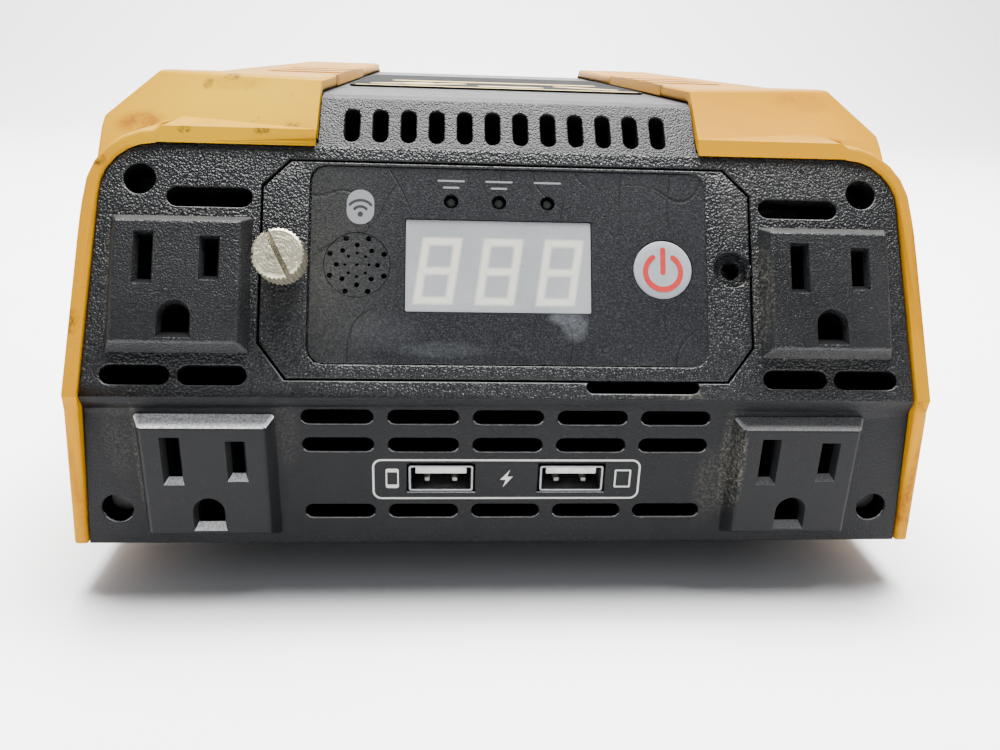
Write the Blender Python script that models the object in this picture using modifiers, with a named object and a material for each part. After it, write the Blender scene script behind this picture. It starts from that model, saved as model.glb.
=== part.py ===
"""Power inverter with four mains outlets, two USB ports and a removable remote panel.

Run with: blender --background --python part.py
The inverter stands on its feet: X runs across it, Y from the front to the back, Z up.
Numbers in outlines and positions are millimetres; the helpers below turn them into metres.
The origin is on the table, under the middle of the whole model.
"""
import math

import bmesh
import bpy
from mathutils import Matrix, Vector

MM = 0.001
GAP = 0.3                    # clearance between neighbouring pieces

# Overall sizes
LENGTH = 222.0               # front cap face to rear cap face
FOOT_HEIGHT = 10.0
FOLD_HEIGHT = 48.2           # where the tilted and the upright front planes meet
BOTTOM = FOOT_HEIGHT - FOLD_HEIGHT
ROOF = 51.2                  # flat top of caps and sleeve, above the fold line
BUMPER_TOP = 54.3
OUTLET_PROUD = 3.2
STUD_REACH = 20.0            # battery studs stand this far out of the rear face
FRONT = (OUTLET_PROUD - LENGTH - STUD_REACH) / 2

# Front faces
TILT = 27.5                  # degrees that the upper front face leans back
FACE_TOP = 46.5              # length of the upper face above the fold line
NOSE = -4.4                  # its lower edge overhangs the upright face
VENT_TILT = 44.7             # degrees that the top vent strip leans back
VENT_LENGTH = 13.1
BASE_HALF_WIDTH = 87.0
NOSE_HALF_WIDTH = 83.7       # at the height of the nose
NOSE_Z = -3.9
CORNER_RADIUS = 10.8
CORNER_X = 71.2
CORNER_DROP = 9.6            # how far below the face's top edge the corner starts
WALL = 2.5

# Yellow skins: wall thickness, and the cross-section of rails and bumpers
BUMPER_WALL = 3.0
BUMPER_INNER_X = 39.5
SHOULDER_X = 81.5            # outer side of the rails' raised shoulders
CHAMFER_X = 71.0
CHAMFER_Z = 46.0
FLARE_X = 91.0               # the bumpers stand out further than the rails
FLARE_Z = 44.2
FLARE_TOP_X = 79.0
FLARE_BASE_X = 91.8
FRONT_BLOCK_FACE = [(40.4, 23.6, 44.8), (40.4, 34.5, 54.3), (79.0, 54.0, 54.3)]
FRONT_BLOCK_SIDE = [(84.9, 0.0, 0.0), (91.5, 50.0, 0.0), (91.5, 50.0, 10.0)]
SHELF_Z = 42.0               # the cap stays below this in front of each block
BLOCK_WALL = 2.8
REAR_BLOCK_SIDE = [(91.5, 185.0, 0.0), (86.9, 222.0, 0.0), (86.9, 222.0, 10.0)]

# Lengthwise stations, measured back from the front face
CAP_END = 62.0
RAIL_START = 60.0
RAIL_END = 130.0
REAR_CAP_START = 154.0

# Remote panel, in the tilted face's own X and S (up the slope)
PANEL_OUTLINE = [(50.2, 6.2), (50.2, 38.6), (44.7, 44.1), (-44.7, 44.1),
                 (-50.2, 38.6), (-50.2, 6.2), (-44.7, -1.0), (44.7, -1.0)]
PANEL_MIDDLE_S = 21.55
PANEL_FLANGE = 3.2
PANEL_DEPTH = 15.0
PANEL_CORE_HALF_WIDTH = 41.6
PANEL_CORE_S = (1.6, 41.4)
OVERLAY_HALF_WIDTH = 40.6
OVERLAY_S = (2.3, 43.0)
OVERLAY_THICKNESS = 0.5
DISPLAY = (-2.3, 22.6, 37.9, 19.1)
LED_XS = (-12.1, -2.3, 7.7)
LED_S = 36.0
LED_RADIUS = 1.6
BUTTON_AT = (31.8, 22.5)
BUTTON_RADIUS = 6.2
SPEAKER_AT = (-30.5, 22.5)
SPEAKER_RADIUS = 6.8
THUMBSCREW_AT = (-45.3, 22.7)
THUMBSCREW_HEAD = (0.9, 7.4)
BLIND_HOLE_AT = (46.0, 22.7)   # the panel's other screw place, left empty

# Cooling slots: (length, width), then where they lie
FACE_SLOT = (16.9, 4.0)
FOLD_SLOT = (13.4, 3.9)
LOWER_SLOT = (14.5, 3.1)
LOWER_SLOT_PITCH = 17.33
LOWER_SLOT_ROWS = (-8.9, -15.1, -30.5)
TOP_SLOT = (8.4, 3.1)
TOP_SLOT_PITCH = 5.81
TOP_SLOT_COUNT = 12
TOP_SLOT_SHIFT = -0.65
TOP_SLOT_U = 6.1
UPPER_SCREW = (74.2, 39.3)
LOWER_SCREW = (80.2, -29.8)

# Mains outlets and USB ports
UPPER_OUTLET = (65.5, 23.0)
LOWER_OUTLET = (60.8, -17.0)
OUTLET_BASE = 27.4
OUTLET_FACE = 24.2
OUTLET_NECK = 24.0
OUTLET_DROP = 5.0            # outlet centre below its slot line
OUTLET_BODY_DEPTH = 14.0
SLOT_PITCH = 12.7
GROUND_DROP = 11.9
USB_X = 13.7
USB_Z = -22.7
USB_SIZE = (13.4, 5.9)
USB_DEPTH = 13.0

# Rear: fans and battery studs
REAR_SLANT_Z = 30.0
FAN_X = 54.0
FAN_Z = -5.0
FAN_SIZE = 50.0
FAN_DEPTH = 15.0
STUD_X = 15.0
STUD_Z = -3.0
REAR_SCREW_X = 78.0


def clear_scene():
    for item in list(bpy.data.objects):
        bpy.data.objects.remove(item, do_unlink=True)


def new_collection(name):
    collection = bpy.data.collections.new(name)
    bpy.context.scene.collection.children.link(collection)
    return collection


clear_scene()
PARTS = new_collection("power_inverter")
CUTTERS = new_collection("cutters")
MATERIALS = {}


def material(name, color, roughness, metallic=0.0, alpha=1.0):
    """One Principled material for each name."""
    if name not in MATERIALS:
        made = bpy.data.materials.new(name)
        made.use_nodes = True
        shader = made.node_tree.nodes["Principled BSDF"]
        shader.inputs["Base Color"].default_value = (*color, 1.0)
        shader.inputs["Roughness"].default_value = roughness
        shader.inputs["Metallic"].default_value = metallic
        shader.inputs["Alpha"].default_value = alpha
        made.diffuse_color = (*color, 1.0)
        MATERIALS[name] = made
    return MATERIALS[name]


BLACK_PLASTIC = dict(color=(0.022, 0.023, 0.025), roughness=0.6)
YELLOW_PLASTIC = dict(color=(0.85, 0.42, 0.06), roughness=0.5)
RUBBER = dict(color=(0.02, 0.02, 0.02), roughness=0.9)
NICKEL = dict(color=(0.62, 0.6, 0.56), roughness=0.35, metallic=1.0)
BRASS = dict(color=(0.7, 0.52, 0.22), roughness=0.35, metallic=1.0)
BLACK_METAL = dict(color=(0.05, 0.05, 0.055), roughness=0.45, metallic=0.3)
CIRCUIT_BOARD = dict(color=(0.02, 0.12, 0.05), roughness=0.5)


# ---------------------------------------------------------------- frames

def face_frame(tilt, y=0.0, z=0.0):
    """Local X across, local Y up a face that leans back by tilt, local Z out of it."""
    place = Matrix.Translation(Vector((0, FRONT + y, FOLD_HEIGHT + z)) * MM)
    return place @ Matrix.Rotation(math.radians(90 - tilt), 4, "X")


UPPER = face_frame(TILT)
LOWER = face_frame(0.0)
REAR = face_frame(0.0, y=LENGTH) @ Matrix.Rotation(math.pi, 4, "Y")


def slope_point(s, inset=0.0):
    """(y, z) of a point s up the tilted face and inset behind it."""
    lean = math.radians(TILT)
    return (s * math.sin(lean) + inset * math.cos(lean),
            s * math.cos(lean) - inset * math.sin(lean))


FACE_EDGE = slope_point(FACE_TOP)
VENT_TOP = (FACE_EDGE[0] + VENT_LENGTH * math.sin(math.radians(VENT_TILT)),
            FACE_EDGE[1] + VENT_LENGTH * math.cos(math.radians(VENT_TILT)))
VENTS = face_frame(VENT_TILT, *FACE_EDGE)


def at(frame, x, y, z=0.0):
    """The frame moved to a local point given in millimetres."""
    return frame @ Matrix.Translation(Vector((x, y, z)) * MM)


# ---------------------------------------------------------------- meshes

def finish_mesh(work, name):
    bmesh.ops.recalc_face_normals(work, faces=work.faces)
    mesh = bpy.data.meshes.new(name)
    work.to_mesh(mesh)
    work.free()
    return mesh


def extruded(outline, low, high, holes=()):
    """A flat outline in local XY, made solid from low to high along local Z."""
    curve = bpy.data.curves.new("outline", "CURVE")
    curve.dimensions = "2D"
    curve.fill_mode = "BOTH"
    curve.extrude = (high - low) / 2 * MM
    for loop in (outline, *holes):
        spline = curve.splines.new("POLY")
        spline.points.add(len(loop) - 1)
        for point, (x, y) in zip(spline.points, loop):
            point.co = (x * MM, y * MM, 0.0, 1.0)
        spline.use_cyclic_u = True
    holder = bpy.data.objects.new("outline", curve)
    bpy.context.scene.collection.objects.link(holder)
    bpy.context.view_layer.update()
    evaluated = holder.evaluated_get(bpy.context.evaluated_depsgraph_get())
    mesh = bpy.data.meshes.new_from_object(evaluated)
    bpy.data.objects.remove(holder)
    work = bmesh.new()
    work.from_mesh(mesh)
    bmesh.ops.remove_doubles(work, verts=work.verts, dist=0.002 * MM)
    bmesh.ops.translate(work, verts=work.verts, vec=(0, 0, (low + high) / 2 * MM))
    return finish_mesh(work, "extruded")


def box(size_x, size_y, low, high):
    """A block centred in local XY, from low to high along local Z."""
    work = bmesh.new()
    bmesh.ops.create_cube(work, size=1.0)
    bmesh.ops.scale(work, verts=work.verts, vec=Vector((size_x, size_y, high - low)) * MM)
    bmesh.ops.translate(work, verts=work.verts, vec=(0, 0, (low + high) / 2 * MM))
    return finish_mesh(work, "box")


def cylinder(radius, low, high, sides=24):
    """A round bar along local Z."""
    work = bmesh.new()
    bmesh.ops.create_cone(work, cap_ends=True, segments=sides, radius1=radius * MM,
                          radius2=radius * MM, depth=(high - low) * MM)
    bmesh.ops.translate(work, verts=work.verts, vec=(0, 0, (low + high) / 2 * MM))
    return finish_mesh(work, "cylinder")


def tapered(base, top, low, high):
    """A block whose upper rectangle is another size; base and top are (x, y) sizes."""
    work = bmesh.new()
    bmesh.ops.create_cube(work, size=2.0)
    for vert in work.verts:
        size = top if vert.co.z > 0 else base
        vert.co.x *= size[0] / 2 * MM
        vert.co.y *= size[1] / 2 * MM
        vert.co.z = (high if vert.co.z > 0 else low) * MM
    return finish_mesh(work, "tapered")


def arc(x, y, radius, start, end, steps):
    """Points on an arc, angles in degrees."""
    return [(x + radius * math.cos(math.radians(start + (end - start) * i / steps)),
             y + radius * math.sin(math.radians(start + (end - start) * i / steps)))
            for i in range(steps + 1)]


def circle(radius, steps=24, x=0.0, y=0.0):
    return arc(x, y, radius, 0, 360, steps)[:-1]


def stadium(length, width, steps=6):
    """A slot with round ends, its long side along X."""
    reach = (length - width) / 2
    return arc(reach, 0, width / 2, -90, 90, steps) + arc(-reach, 0, width / 2, 90, 270, steps)


def rounded(width, height, radius, steps=4):
    """A rectangle with round corners, centred."""
    x = width / 2 - radius
    y = height / 2 - radius
    return (arc(x, y, radius, 0, 90, steps) + arc(-x, y, radius, 90, 180, steps)
            + arc(-x, -y, radius, 180, 270, steps) + arc(x, -y, radius, 270, 360, steps))


def shrink_octagon(gap):
    """The panel outline, drawn in by gap on every side, about its own middle."""
    scale_x = 1 - gap / 50.2
    scale_s = 1 - gap / 22.5
    return [(x * scale_x, PANEL_MIDDLE_S + (s - PANEL_MIDDLE_S) * scale_s)
            for x, s in PANEL_OUTLINE]


# ---------------------------------------------------------------- objects

def place(name, mesh, frame, collection):
    item = bpy.data.objects.new(name, mesh)
    item.matrix_world = frame
    collection.objects.link(item)
    return item


def part(name, mesh, frame, look, look_name):
    """A named sub-part with its own material."""
    item = place(name, mesh, frame, PARTS)
    mesh.materials.append(material(look_name, **look))
    return item


def settle(item):
    """Applies an object's modifiers, then shades its round faces smooth."""
    evaluated = item.evaluated_get(bpy.context.evaluated_depsgraph_get())
    mesh = bpy.data.meshes.new_from_object(evaluated)
    item.modifiers.clear()
    item.data = mesh
    mesh.name = item.name
    mesh.shade_smooth()
    mesh.set_sharp_from_angle(angle=math.radians(35))


def tool(mesh, frame, name="cutter"):
    """A hidden helper solid for Boolean modifiers."""
    item = place(name, mesh, frame, CUTTERS)
    item.hide_render = True
    item.display_type = "WIRE"
    return item


def boolean(target, helper, operation):
    modifier = target.modifiers.new(operation.lower(), "BOOLEAN")
    modifier.operation = operation
    modifier.solver = "EXACT"
    modifier.object = helper


def cut(target, mesh, frame):
    boolean(target, tool(mesh, frame), "DIFFERENCE")


def join(target, mesh, frame):
    boolean(target, tool(mesh, frame, "joined"), "UNION")


# ---------------------------------------------------------------- body shape

def body_outline(offset):
    """Cross-section (x, z) of caps and sleeve, seen from the front, grown by offset."""
    corner_z = FACE_EDGE[1] - CORNER_DROP
    right = [(BASE_HALF_WIDTH + offset, BOTTOM - offset), (NOSE_HALF_WIDTH + offset, NOSE_Z)]
    for step in range(7):
        angle = math.radians(step * 15)
        right.append((CORNER_X + (CORNER_RADIUS + offset) * math.cos(angle),
                      corner_z + (CORNER_DROP + offset) * math.sin(angle)))
    right.append((CORNER_X - 7.0 + offset, ROOF + offset))
    return right + [(-x, z) for x, z in reversed(right)]


def half_space(side, points, depth=0.0):
    """A large block that ends depth below the plane through three right-hand points (x, y, z)."""
    corners = [Vector((side * x, FRONT + y, FOLD_HEIGHT + z)) * MM for x, y, z in points]
    normal = (corners[1] - corners[0]).cross(corners[2] - corners[0]).normalized()
    if normal.x * side < 0:
        normal = -normal
    turn = normal.to_track_quat("Z", "Y").to_matrix().to_4x4()
    return box(500, 500, -400, -depth), Matrix.Translation(corners[0]) @ turn


def side_solid(profile, half_x):
    """A (y, z) side profile made solid across the whole width."""
    frame = Matrix.Translation(Vector((0, FRONT, FOLD_HEIGHT)) * MM)
    turn = Matrix(((0, 0, 1, 0), (1, 0, 0, 0), (0, 1, 0, 0), (0, 0, 0, 1)))
    return extruded(profile, -half_x, half_x), frame @ turn


def front_solid(outline, start, end):
    """An (x, z) outline made solid from one lengthwise station to another."""
    return extruded(outline, -end, -start), LOWER


def front_cap_profile():
    """Side view of the front cap's outside: upright face, nose, tilted face, vent strip."""
    nose_y, nose_z = slope_point(NOSE)
    return [(0.0, BOTTOM), (0.0, nose_z - 3.3), (nose_y, nose_z), FACE_EDGE, VENT_TOP,
            (VENT_TOP[0] + 2, ROOF), (CAP_END, ROOF), (CAP_END, BOTTOM)]


def front_bumper_core():
    """Side view of what the bumper leaves free: the cap with clearance, and all before its face."""
    return [(-14.0, BOTTOM - GAP), (-14.0, 0.0), slope_point(FACE_TOP + GAP, -10.0),
            slope_point(FACE_TOP + GAP, -GAP), (VENT_TOP[0] - GAP * 0.7, VENT_TOP[1] + GAP * 0.7),
            (VENT_TOP[0] + 2, ROOF + GAP), (CAP_END + 20, ROOF + GAP),
            (CAP_END + 20, BOTTOM - GAP)]


def front_cap_hollow():
    """Side view of its inside; the tilted wall is thick enough to seat the remote panel."""
    low = slope_point(-2.0, 6.5)
    high = slope_point(43.0, 6.5)
    floor = BOTTOM + WALL
    return [(3.0, floor), (3.0, -9.5), low, high, (high[0] + 1.0, FACE_EDGE[1] + 1.2),
            (VENT_TOP[0] + 2.5, ROOF - WALL), (CAP_END + 5, ROOF - WALL), (CAP_END + 5, floor)]


def rear_cap_profile(grow=0.0, start=REAR_CAP_START):
    slant = ROOF - REAR_SLANT_Z
    return [(start, BOTTOM - grow), (LENGTH + grow, BOTTOM - grow),
            (LENGTH + grow, REAR_SLANT_Z + grow * 0.4),
            (LENGTH - slant + grow * 0.4, ROOF + grow), (start, ROOF + grow)]


def trim_to(target, outline, start, end):
    mesh, frame = front_solid(outline, start, end)
    boolean(target, tool(mesh, frame), "INTERSECT")


def hollow_out(target, profile, outline, start, end, kept=()):
    """Removes a side profile from the target, inside an outline and outside the kept tools."""
    mesh, frame = side_solid(profile, BASE_HALF_WIDTH)
    hollow = tool(mesh, frame, "hollow")
    limit, limit_frame = front_solid(outline, start, end)
    boolean(hollow, tool(limit, limit_frame), "INTERSECT")
    for solid in kept:
        boolean(hollow, solid, "DIFFERENCE")
    boolean(target, hollow, "DIFFERENCE")


def shelf(side, margin):
    """The space that a front block takes from the cap, grown by margin on the cap's side."""
    inner = BUMPER_INNER_X - GAP - margin
    low = SHELF_Z - margin
    outline = [(side * inner, low), (side * 100.0, low), (side * 100.0, 60.0),
               (side * inner, 60.0)]
    mesh, frame = front_solid(outline, -20.0, CAP_END + 20)
    space = tool(mesh, frame, "shelf")
    limit, limit_frame = half_space(side, FRONT_BLOCK_FACE, BLOCK_WALL + margin)
    cut(space, limit, limit_frame)
    return space


# ---------------------------------------------------------------- caps, sleeve, bumpers

def make_front_cap():
    mesh, frame = side_solid(front_cap_profile(), BASE_HALF_WIDTH + 5)
    cap = part("front_cap", mesh, frame, BLACK_PLASTIC, "black_plastic")
    trim_to(cap, body_outline(0.0), -10, CAP_END + 10)
    hollow_out(cap, front_cap_hollow(), body_outline(-WALL), -10, CAP_END + 10,
               [shelf(side, WALL) for side in (-1, 1)])
    for side in (-1, 1):
        boolean(cap, shelf(side, 0.0), "DIFFERENCE")
    # Recess and window for the remote panel
    cut(cap, extruded(PANEL_OUTLINE, -PANEL_FLANGE - GAP, 10), UPPER)
    core_height = PANEL_CORE_S[1] - PANEL_CORE_S[0]
    core_middle = sum(PANEL_CORE_S) / 2
    cut(cap, box(PANEL_CORE_HALF_WIDTH * 2 + 0.8, core_height + 0.8, -12, 1),
        at(UPPER, 0, core_middle))
    notch = rounded(23.0, 2.6, 1.2, 3)
    cut(cap, extruded(notch, -5.0, 3), at(UPPER, 27.0, -1.9))
    for place in (THUMBSCREW_AT, BLIND_HOLE_AT):
        cut(cap, cylinder(1.3, -12, 0, 12), at(UPPER, *place))
    # Cooling slots
    for side in (-1, 1):
        cut(cap, extruded(stadium(*FACE_SLOT), -9, 3), at(UPPER, side * 60.4, 35.8))
        for x in (58.6, 73.4):
            cut(cap, extruded(stadium(*FOLD_SLOT), -9, 3), at(UPPER, side * x, -0.1))
    for column in range(-2, 3):
        for z in LOWER_SLOT_ROWS:
            cut(cap, extruded(stadium(*LOWER_SLOT), -4, 3), at(LOWER, column * LOWER_SLOT_PITCH, z))
    for index in range(TOP_SLOT_COUNT):
        slot = [(y, x) for x, y in stadium(*TOP_SLOT)]
        x = (index - (TOP_SLOT_COUNT - 1) / 2) * TOP_SLOT_PITCH + TOP_SLOT_SHIFT
        cut(cap, extruded(slot, -9, 3), at(VENTS, x, TOP_SLOT_U))
    # Openings for outlets, USB ports and screws
    for side in (-1, 1):
        for frame, (x, line) in ((UPPER, UPPER_OUTLET), (LOWER, LOWER_OUTLET)):
            cut(cap, box(OUTLET_NECK + 0.8, OUTLET_NECK + 0.8, -12, 3),
                at(frame, side * x, line - OUTLET_DROP))
        cut(cap, box(USB_SIZE[0] + 0.7, USB_SIZE[1] + 0.7, -6, 3), at(LOWER, side * USB_X, USB_Z))
        cut(cap, cylinder(3.15, -12, 3, 20), at(UPPER, side * UPPER_SCREW[0], UPPER_SCREW[1]))
        cut(cap, cylinder(3.15, -7, 3, 20), at(LOWER, side * LOWER_SCREW[0], LOWER_SCREW[1]))
    return cap


def make_rear_cap():
    mesh, frame = side_solid(rear_cap_profile(), BASE_HALF_WIDTH + 5)
    cap = part("rear_cap", mesh, frame, BLACK_PLASTIC, "black_plastic")
    trim_to(cap, body_outline(0.0), REAR_CAP_START - 10, LENGTH + 10)
    slant = ROOF - REAR_SLANT_Z
    inside = [(REAR_CAP_START - 5, BOTTOM + WALL), (LENGTH - 3, BOTTOM + WALL),
              (LENGTH - 3, REAR_SLANT_Z - 1.5), (LENGTH - slant - 1.5, ROOF - WALL),
              (REAR_CAP_START - 5, ROOF - WALL)]
    hollow_out(cap, inside, body_outline(-WALL), REAR_CAP_START - 10, LENGTH + 10)
    for side in (-1, 1):
        cut(cap, cylinder(22.5, -6, 3, 32), at(REAR, side * FAN_X, FAN_Z))
        cut(cap, cylinder(4.6, -6, 3, 16), at(REAR, side * STUD_X, STUD_Z))
        for z in (-31.0, 22.0):
            cut(cap, cylinder(1.8, -6, 3, 10), at(REAR, side * REAR_SCREW_X, z))
    for index in range(5):
        cut(cap, extruded(stadium(13.0, 3.0), -6, 3), at(REAR, 0, 12.0 + 5.0 * (index - 1)))
    cut(cap, cylinder(2.3, -6, 3, 12), at(REAR, 0, -27.0))
    return cap


def make_sleeve():
    """Extruded aluminium tube between the caps."""
    mesh, frame = front_solid(body_outline(0.0), CAP_END + GAP, REAR_CAP_START - GAP)
    sleeve = part("housing_sleeve", mesh, frame, BLACK_METAL, "black_metal")
    inner, inner_frame = front_solid(body_outline(-2.0), CAP_END - 5, REAR_CAP_START + 5)
    cut(sleeve, inner, inner_frame)
    return sleeve


def shoulder(side, top):
    """Cross-section (x, z) of the raised shoulder on one side, its outer corner chamfered."""
    points = [(BUMPER_INNER_X, 24.0), (SHOULDER_X, 24.0), (SHOULDER_X, CHAMFER_Z),
              (CHAMFER_X, top), (BUMPER_INNER_X, top)]
    return [(side * x, z) for x, z in points]


def wing(side, offset, start, end):
    """The curved side skin on one side of the body, before its inside is cut away."""
    outline = [(side * x, max(z, BOTTOM)) for x, z in body_outline(offset) if x > 0]
    outline += [(side * BUMPER_INNER_X, ROOF + offset), (side * BUMPER_INNER_X, BOTTOM)]
    return front_solid(outline, start, end)


def inside_of_skin(target, profile, start, end, kept=()):
    """Cuts the body's own shape, with clearance, out of a skin."""
    hollow_out(target, profile, body_outline(GAP), start, end, kept)


def make_block(side, profile, start, end):
    """The flared bumper cross-section between two stations, kept inside a side profile."""
    mesh, frame = side_solid(profile, FLARE_BASE_X + 5)
    block = tool(mesh, frame, "block")
    outline = [(BUMPER_INNER_X, BOTTOM), (FLARE_BASE_X, BOTTOM), (FLARE_X, FLARE_Z),
               (FLARE_TOP_X, BUMPER_TOP), (BUMPER_INNER_X, BUMPER_TOP)]
    limit, limit_frame = front_solid([(side * x, z) for x, z in outline], start, end)
    boolean(block, tool(limit, limit_frame), "INTERSECT")
    return block


def make_front_bumper(side, name):
    """Yellow skin round a front corner: lip, sloping block and side wall."""
    lip_y, lip_z = slope_point(FACE_TOP + 3.7, -0.5)
    low_y, low_z = slope_point(NOSE, -0.5)
    lip = [(-0.5, BOTTOM), (-0.5, low_z - 3.3), (low_y, low_z), (lip_y, lip_z),
           (RAIL_START, lip_z), (RAIL_START, BOTTOM)]
    mesh, frame = side_solid(lip, BASE_HALF_WIDTH + 10)
    bumper = part(name, mesh, frame, YELLOW_PLASTIC, "yellow_plastic")
    skin, skin_frame = wing(side, BUMPER_WALL, -20, RAIL_START + 20)
    boolean(bumper, tool(skin, skin_frame), "INTERSECT")
    block = [(-0.5, BOTTOM), (-0.5, low_z - 3.3), (low_y, low_z),
             slope_point(FACE_TOP + 16.0, -0.5), (RAIL_START, BUMPER_TOP + 2),
             (RAIL_START, BOTTOM)]
    raised = make_block(side, block, -20, RAIL_START + 20)
    for plane in (FRONT_BLOCK_FACE, FRONT_BLOCK_SIDE):
        limit, limit_frame = half_space(side, plane)
        boolean(raised, tool(limit, limit_frame), "INTERSECT")
    boolean(bumper, raised, "UNION")
    inside_of_skin(bumper, front_bumper_core(), -20, RAIL_START + 20, [shelf(side, -GAP)])
    return bumper


def make_side_rail(side, name):
    """Yellow skin between the bumpers, with three grip ribs beside the lid."""
    mesh, frame = wing(side, BUMPER_WALL, RAIL_START + GAP, RAIL_END - GAP)
    rail = part(name, mesh, frame, YELLOW_PLASTIC, "yellow_plastic")
    top, top_frame = front_solid(shoulder(side, BUMPER_TOP - 0.6),
                                 RAIL_START + GAP, RAIL_END - GAP)
    join(rail, top, top_frame)
    for station in (76.0, 92.0, 108.0):
        rib = [(BUMPER_INNER_X, 45.0), (60.0, 45.0), (60.0, BUMPER_TOP - 0.4),
               (58.0, BUMPER_TOP + 0.1), (BUMPER_INNER_X, BUMPER_TOP + 0.1)]
        rib = [(side * x, z) for x, z in rib]
        rib_mesh, rib_frame = front_solid(rib, station - 5, station + 5)
        join(rail, rib_mesh, rib_frame)
    core, core_frame = front_solid(body_outline(GAP), RAIL_START - 20, RAIL_END + 20)
    cut(rail, core, core_frame)
    return rail


def make_rear_bumper(side, name):
    """Yellow skin round a rear corner."""
    wall = [(RAIL_END, BOTTOM), (LENGTH, BOTTOM), (LENGTH, REAR_SLANT_Z), (205.0, 44.6),
            (RAIL_END, 44.6)]
    mesh, frame = side_solid(wall, BASE_HALF_WIDTH + 10)
    bumper = part(name, mesh, frame, YELLOW_PLASTIC, "yellow_plastic")
    skin, skin_frame = wing(side, BUMPER_WALL, RAIL_END - 20, LENGTH + 20)
    boolean(bumper, tool(skin, skin_frame), "INTERSECT")
    block = [(RAIL_END, BOTTOM), (LENGTH, BOTTOM), (LENGTH, REAR_SLANT_Z + 2.0),
             (198.5, BUMPER_TOP + 1), (RAIL_END, BUMPER_TOP + 1)]
    raised = make_block(side, block, 100, 240)
    limit, limit_frame = half_space(side, REAR_BLOCK_SIDE)
    boolean(raised, tool(limit, limit_frame), "INTERSECT")
    boolean(bumper, raised, "UNION")
    inside_of_skin(bumper, rear_cap_profile(GAP, RAIL_END - 20), RAIL_END - 20, LENGTH + 20)
    return bumper


def make_label():
    frame = Matrix.Translation(Vector((0, FRONT + 111.0, FOLD_HEIGHT + ROOF)) * MM)
    return part("top_label", extruded(rounded(75.6, 82.0, 2.0, 2), 0.2, 0.5), frame,
                dict(color=(0.03, 0.03, 0.03), roughness=0.35), "label_film")


def make_feet():
    for row, y in (("front", 30.0), ("rear", 190.0)):
        for column, x in (("left", -62.0), ("right", 62.0)):
            profile = [(0.0, -GAP), (7.0, -GAP), (9.0, -2.0), (8.0, -FOOT_HEIGHT + 0.8),
                       (7.2, -FOOT_HEIGHT), (0.0, -FOOT_HEIGHT)]
            frame = Matrix.Translation(Vector((x, FRONT + y, FOOT_HEIGHT)) * MM)
            turned(f"foot_{row}_{column}", profile, frame, 16, RUBBER, "rubber")


def turned(name, profile, frame, steps, look, look_name):
    """A round piece about local Z; the profile (radius, height) runs from top to bottom."""
    mesh = bpy.data.meshes.new(name)
    points = [(radius * MM, 0.0, height * MM) for radius, height in profile]
    mesh.from_pydata(points, [(i, i + 1) for i in range(len(points) - 1)], [])
    item = part(name, mesh, frame, look, look_name)
    screw = item.modifiers.new("turned", "SCREW")
    screw.axis = "Z"
    screw.steps = steps
    screw.render_steps = steps
    screw.use_merge_vertices = True
    screw.merge_threshold = 0.00001
    screw.use_smooth_shade = True
    return item


# ---------------------------------------------------------------- outlets and USB ports

def outlet_holes():
    """Cutters of one outlet about its centre: (mesh, x, y) for blades and ground pin."""
    line = OUTLET_DROP
    ground = line - GROUND_DROP
    half = SLOT_PITCH / 2
    u_shape = arc(0, 0, 3.3, 0, 180, 8) + [(-3.3, -4.2), (3.3, -4.2)]
    return [(box(2.6, 9.2, -11, 8), -half, line),
            (box(2.6, 7.6, -11, 8), half, line),
            (extruded(u_shape, -11, 8), 0.0, ground)]


def make_outlet(name, frame, x, line):
    centre = at(frame, x, line - OUTLET_DROP)
    proud = OUTLET_PROUD
    outlet = part(name, tapered((OUTLET_BASE, OUTLET_BASE), (OUTLET_FACE, OUTLET_FACE),
                                GAP, proud), centre, BLACK_PLASTIC, "black_plastic")
    join(outlet, box(OUTLET_NECK, OUTLET_NECK, -OUTLET_BODY_DEPTH, 1.0), centre)
    for mesh, dx, dy in outlet_holes():
        cut(outlet, mesh, at(centre, dx, dy))
    return outlet


def make_usb_port(name, x):
    centre = at(LOWER, x, USB_Z)
    width, height = USB_SIZE
    port = part(name, box(width, height, -USB_DEPTH, 0.2), centre, NICKEL, "nickel")
    cut(port, box(width - 0.9, height - 0.9, -USB_DEPTH + 1.0, 3), centre)
    join(port, box(width - 2.6, 1.7, -USB_DEPTH + 0.5, -1.4), at(centre, 0, 1.35))
    return port


# ---------------------------------------------------------------- remote panel

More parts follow.
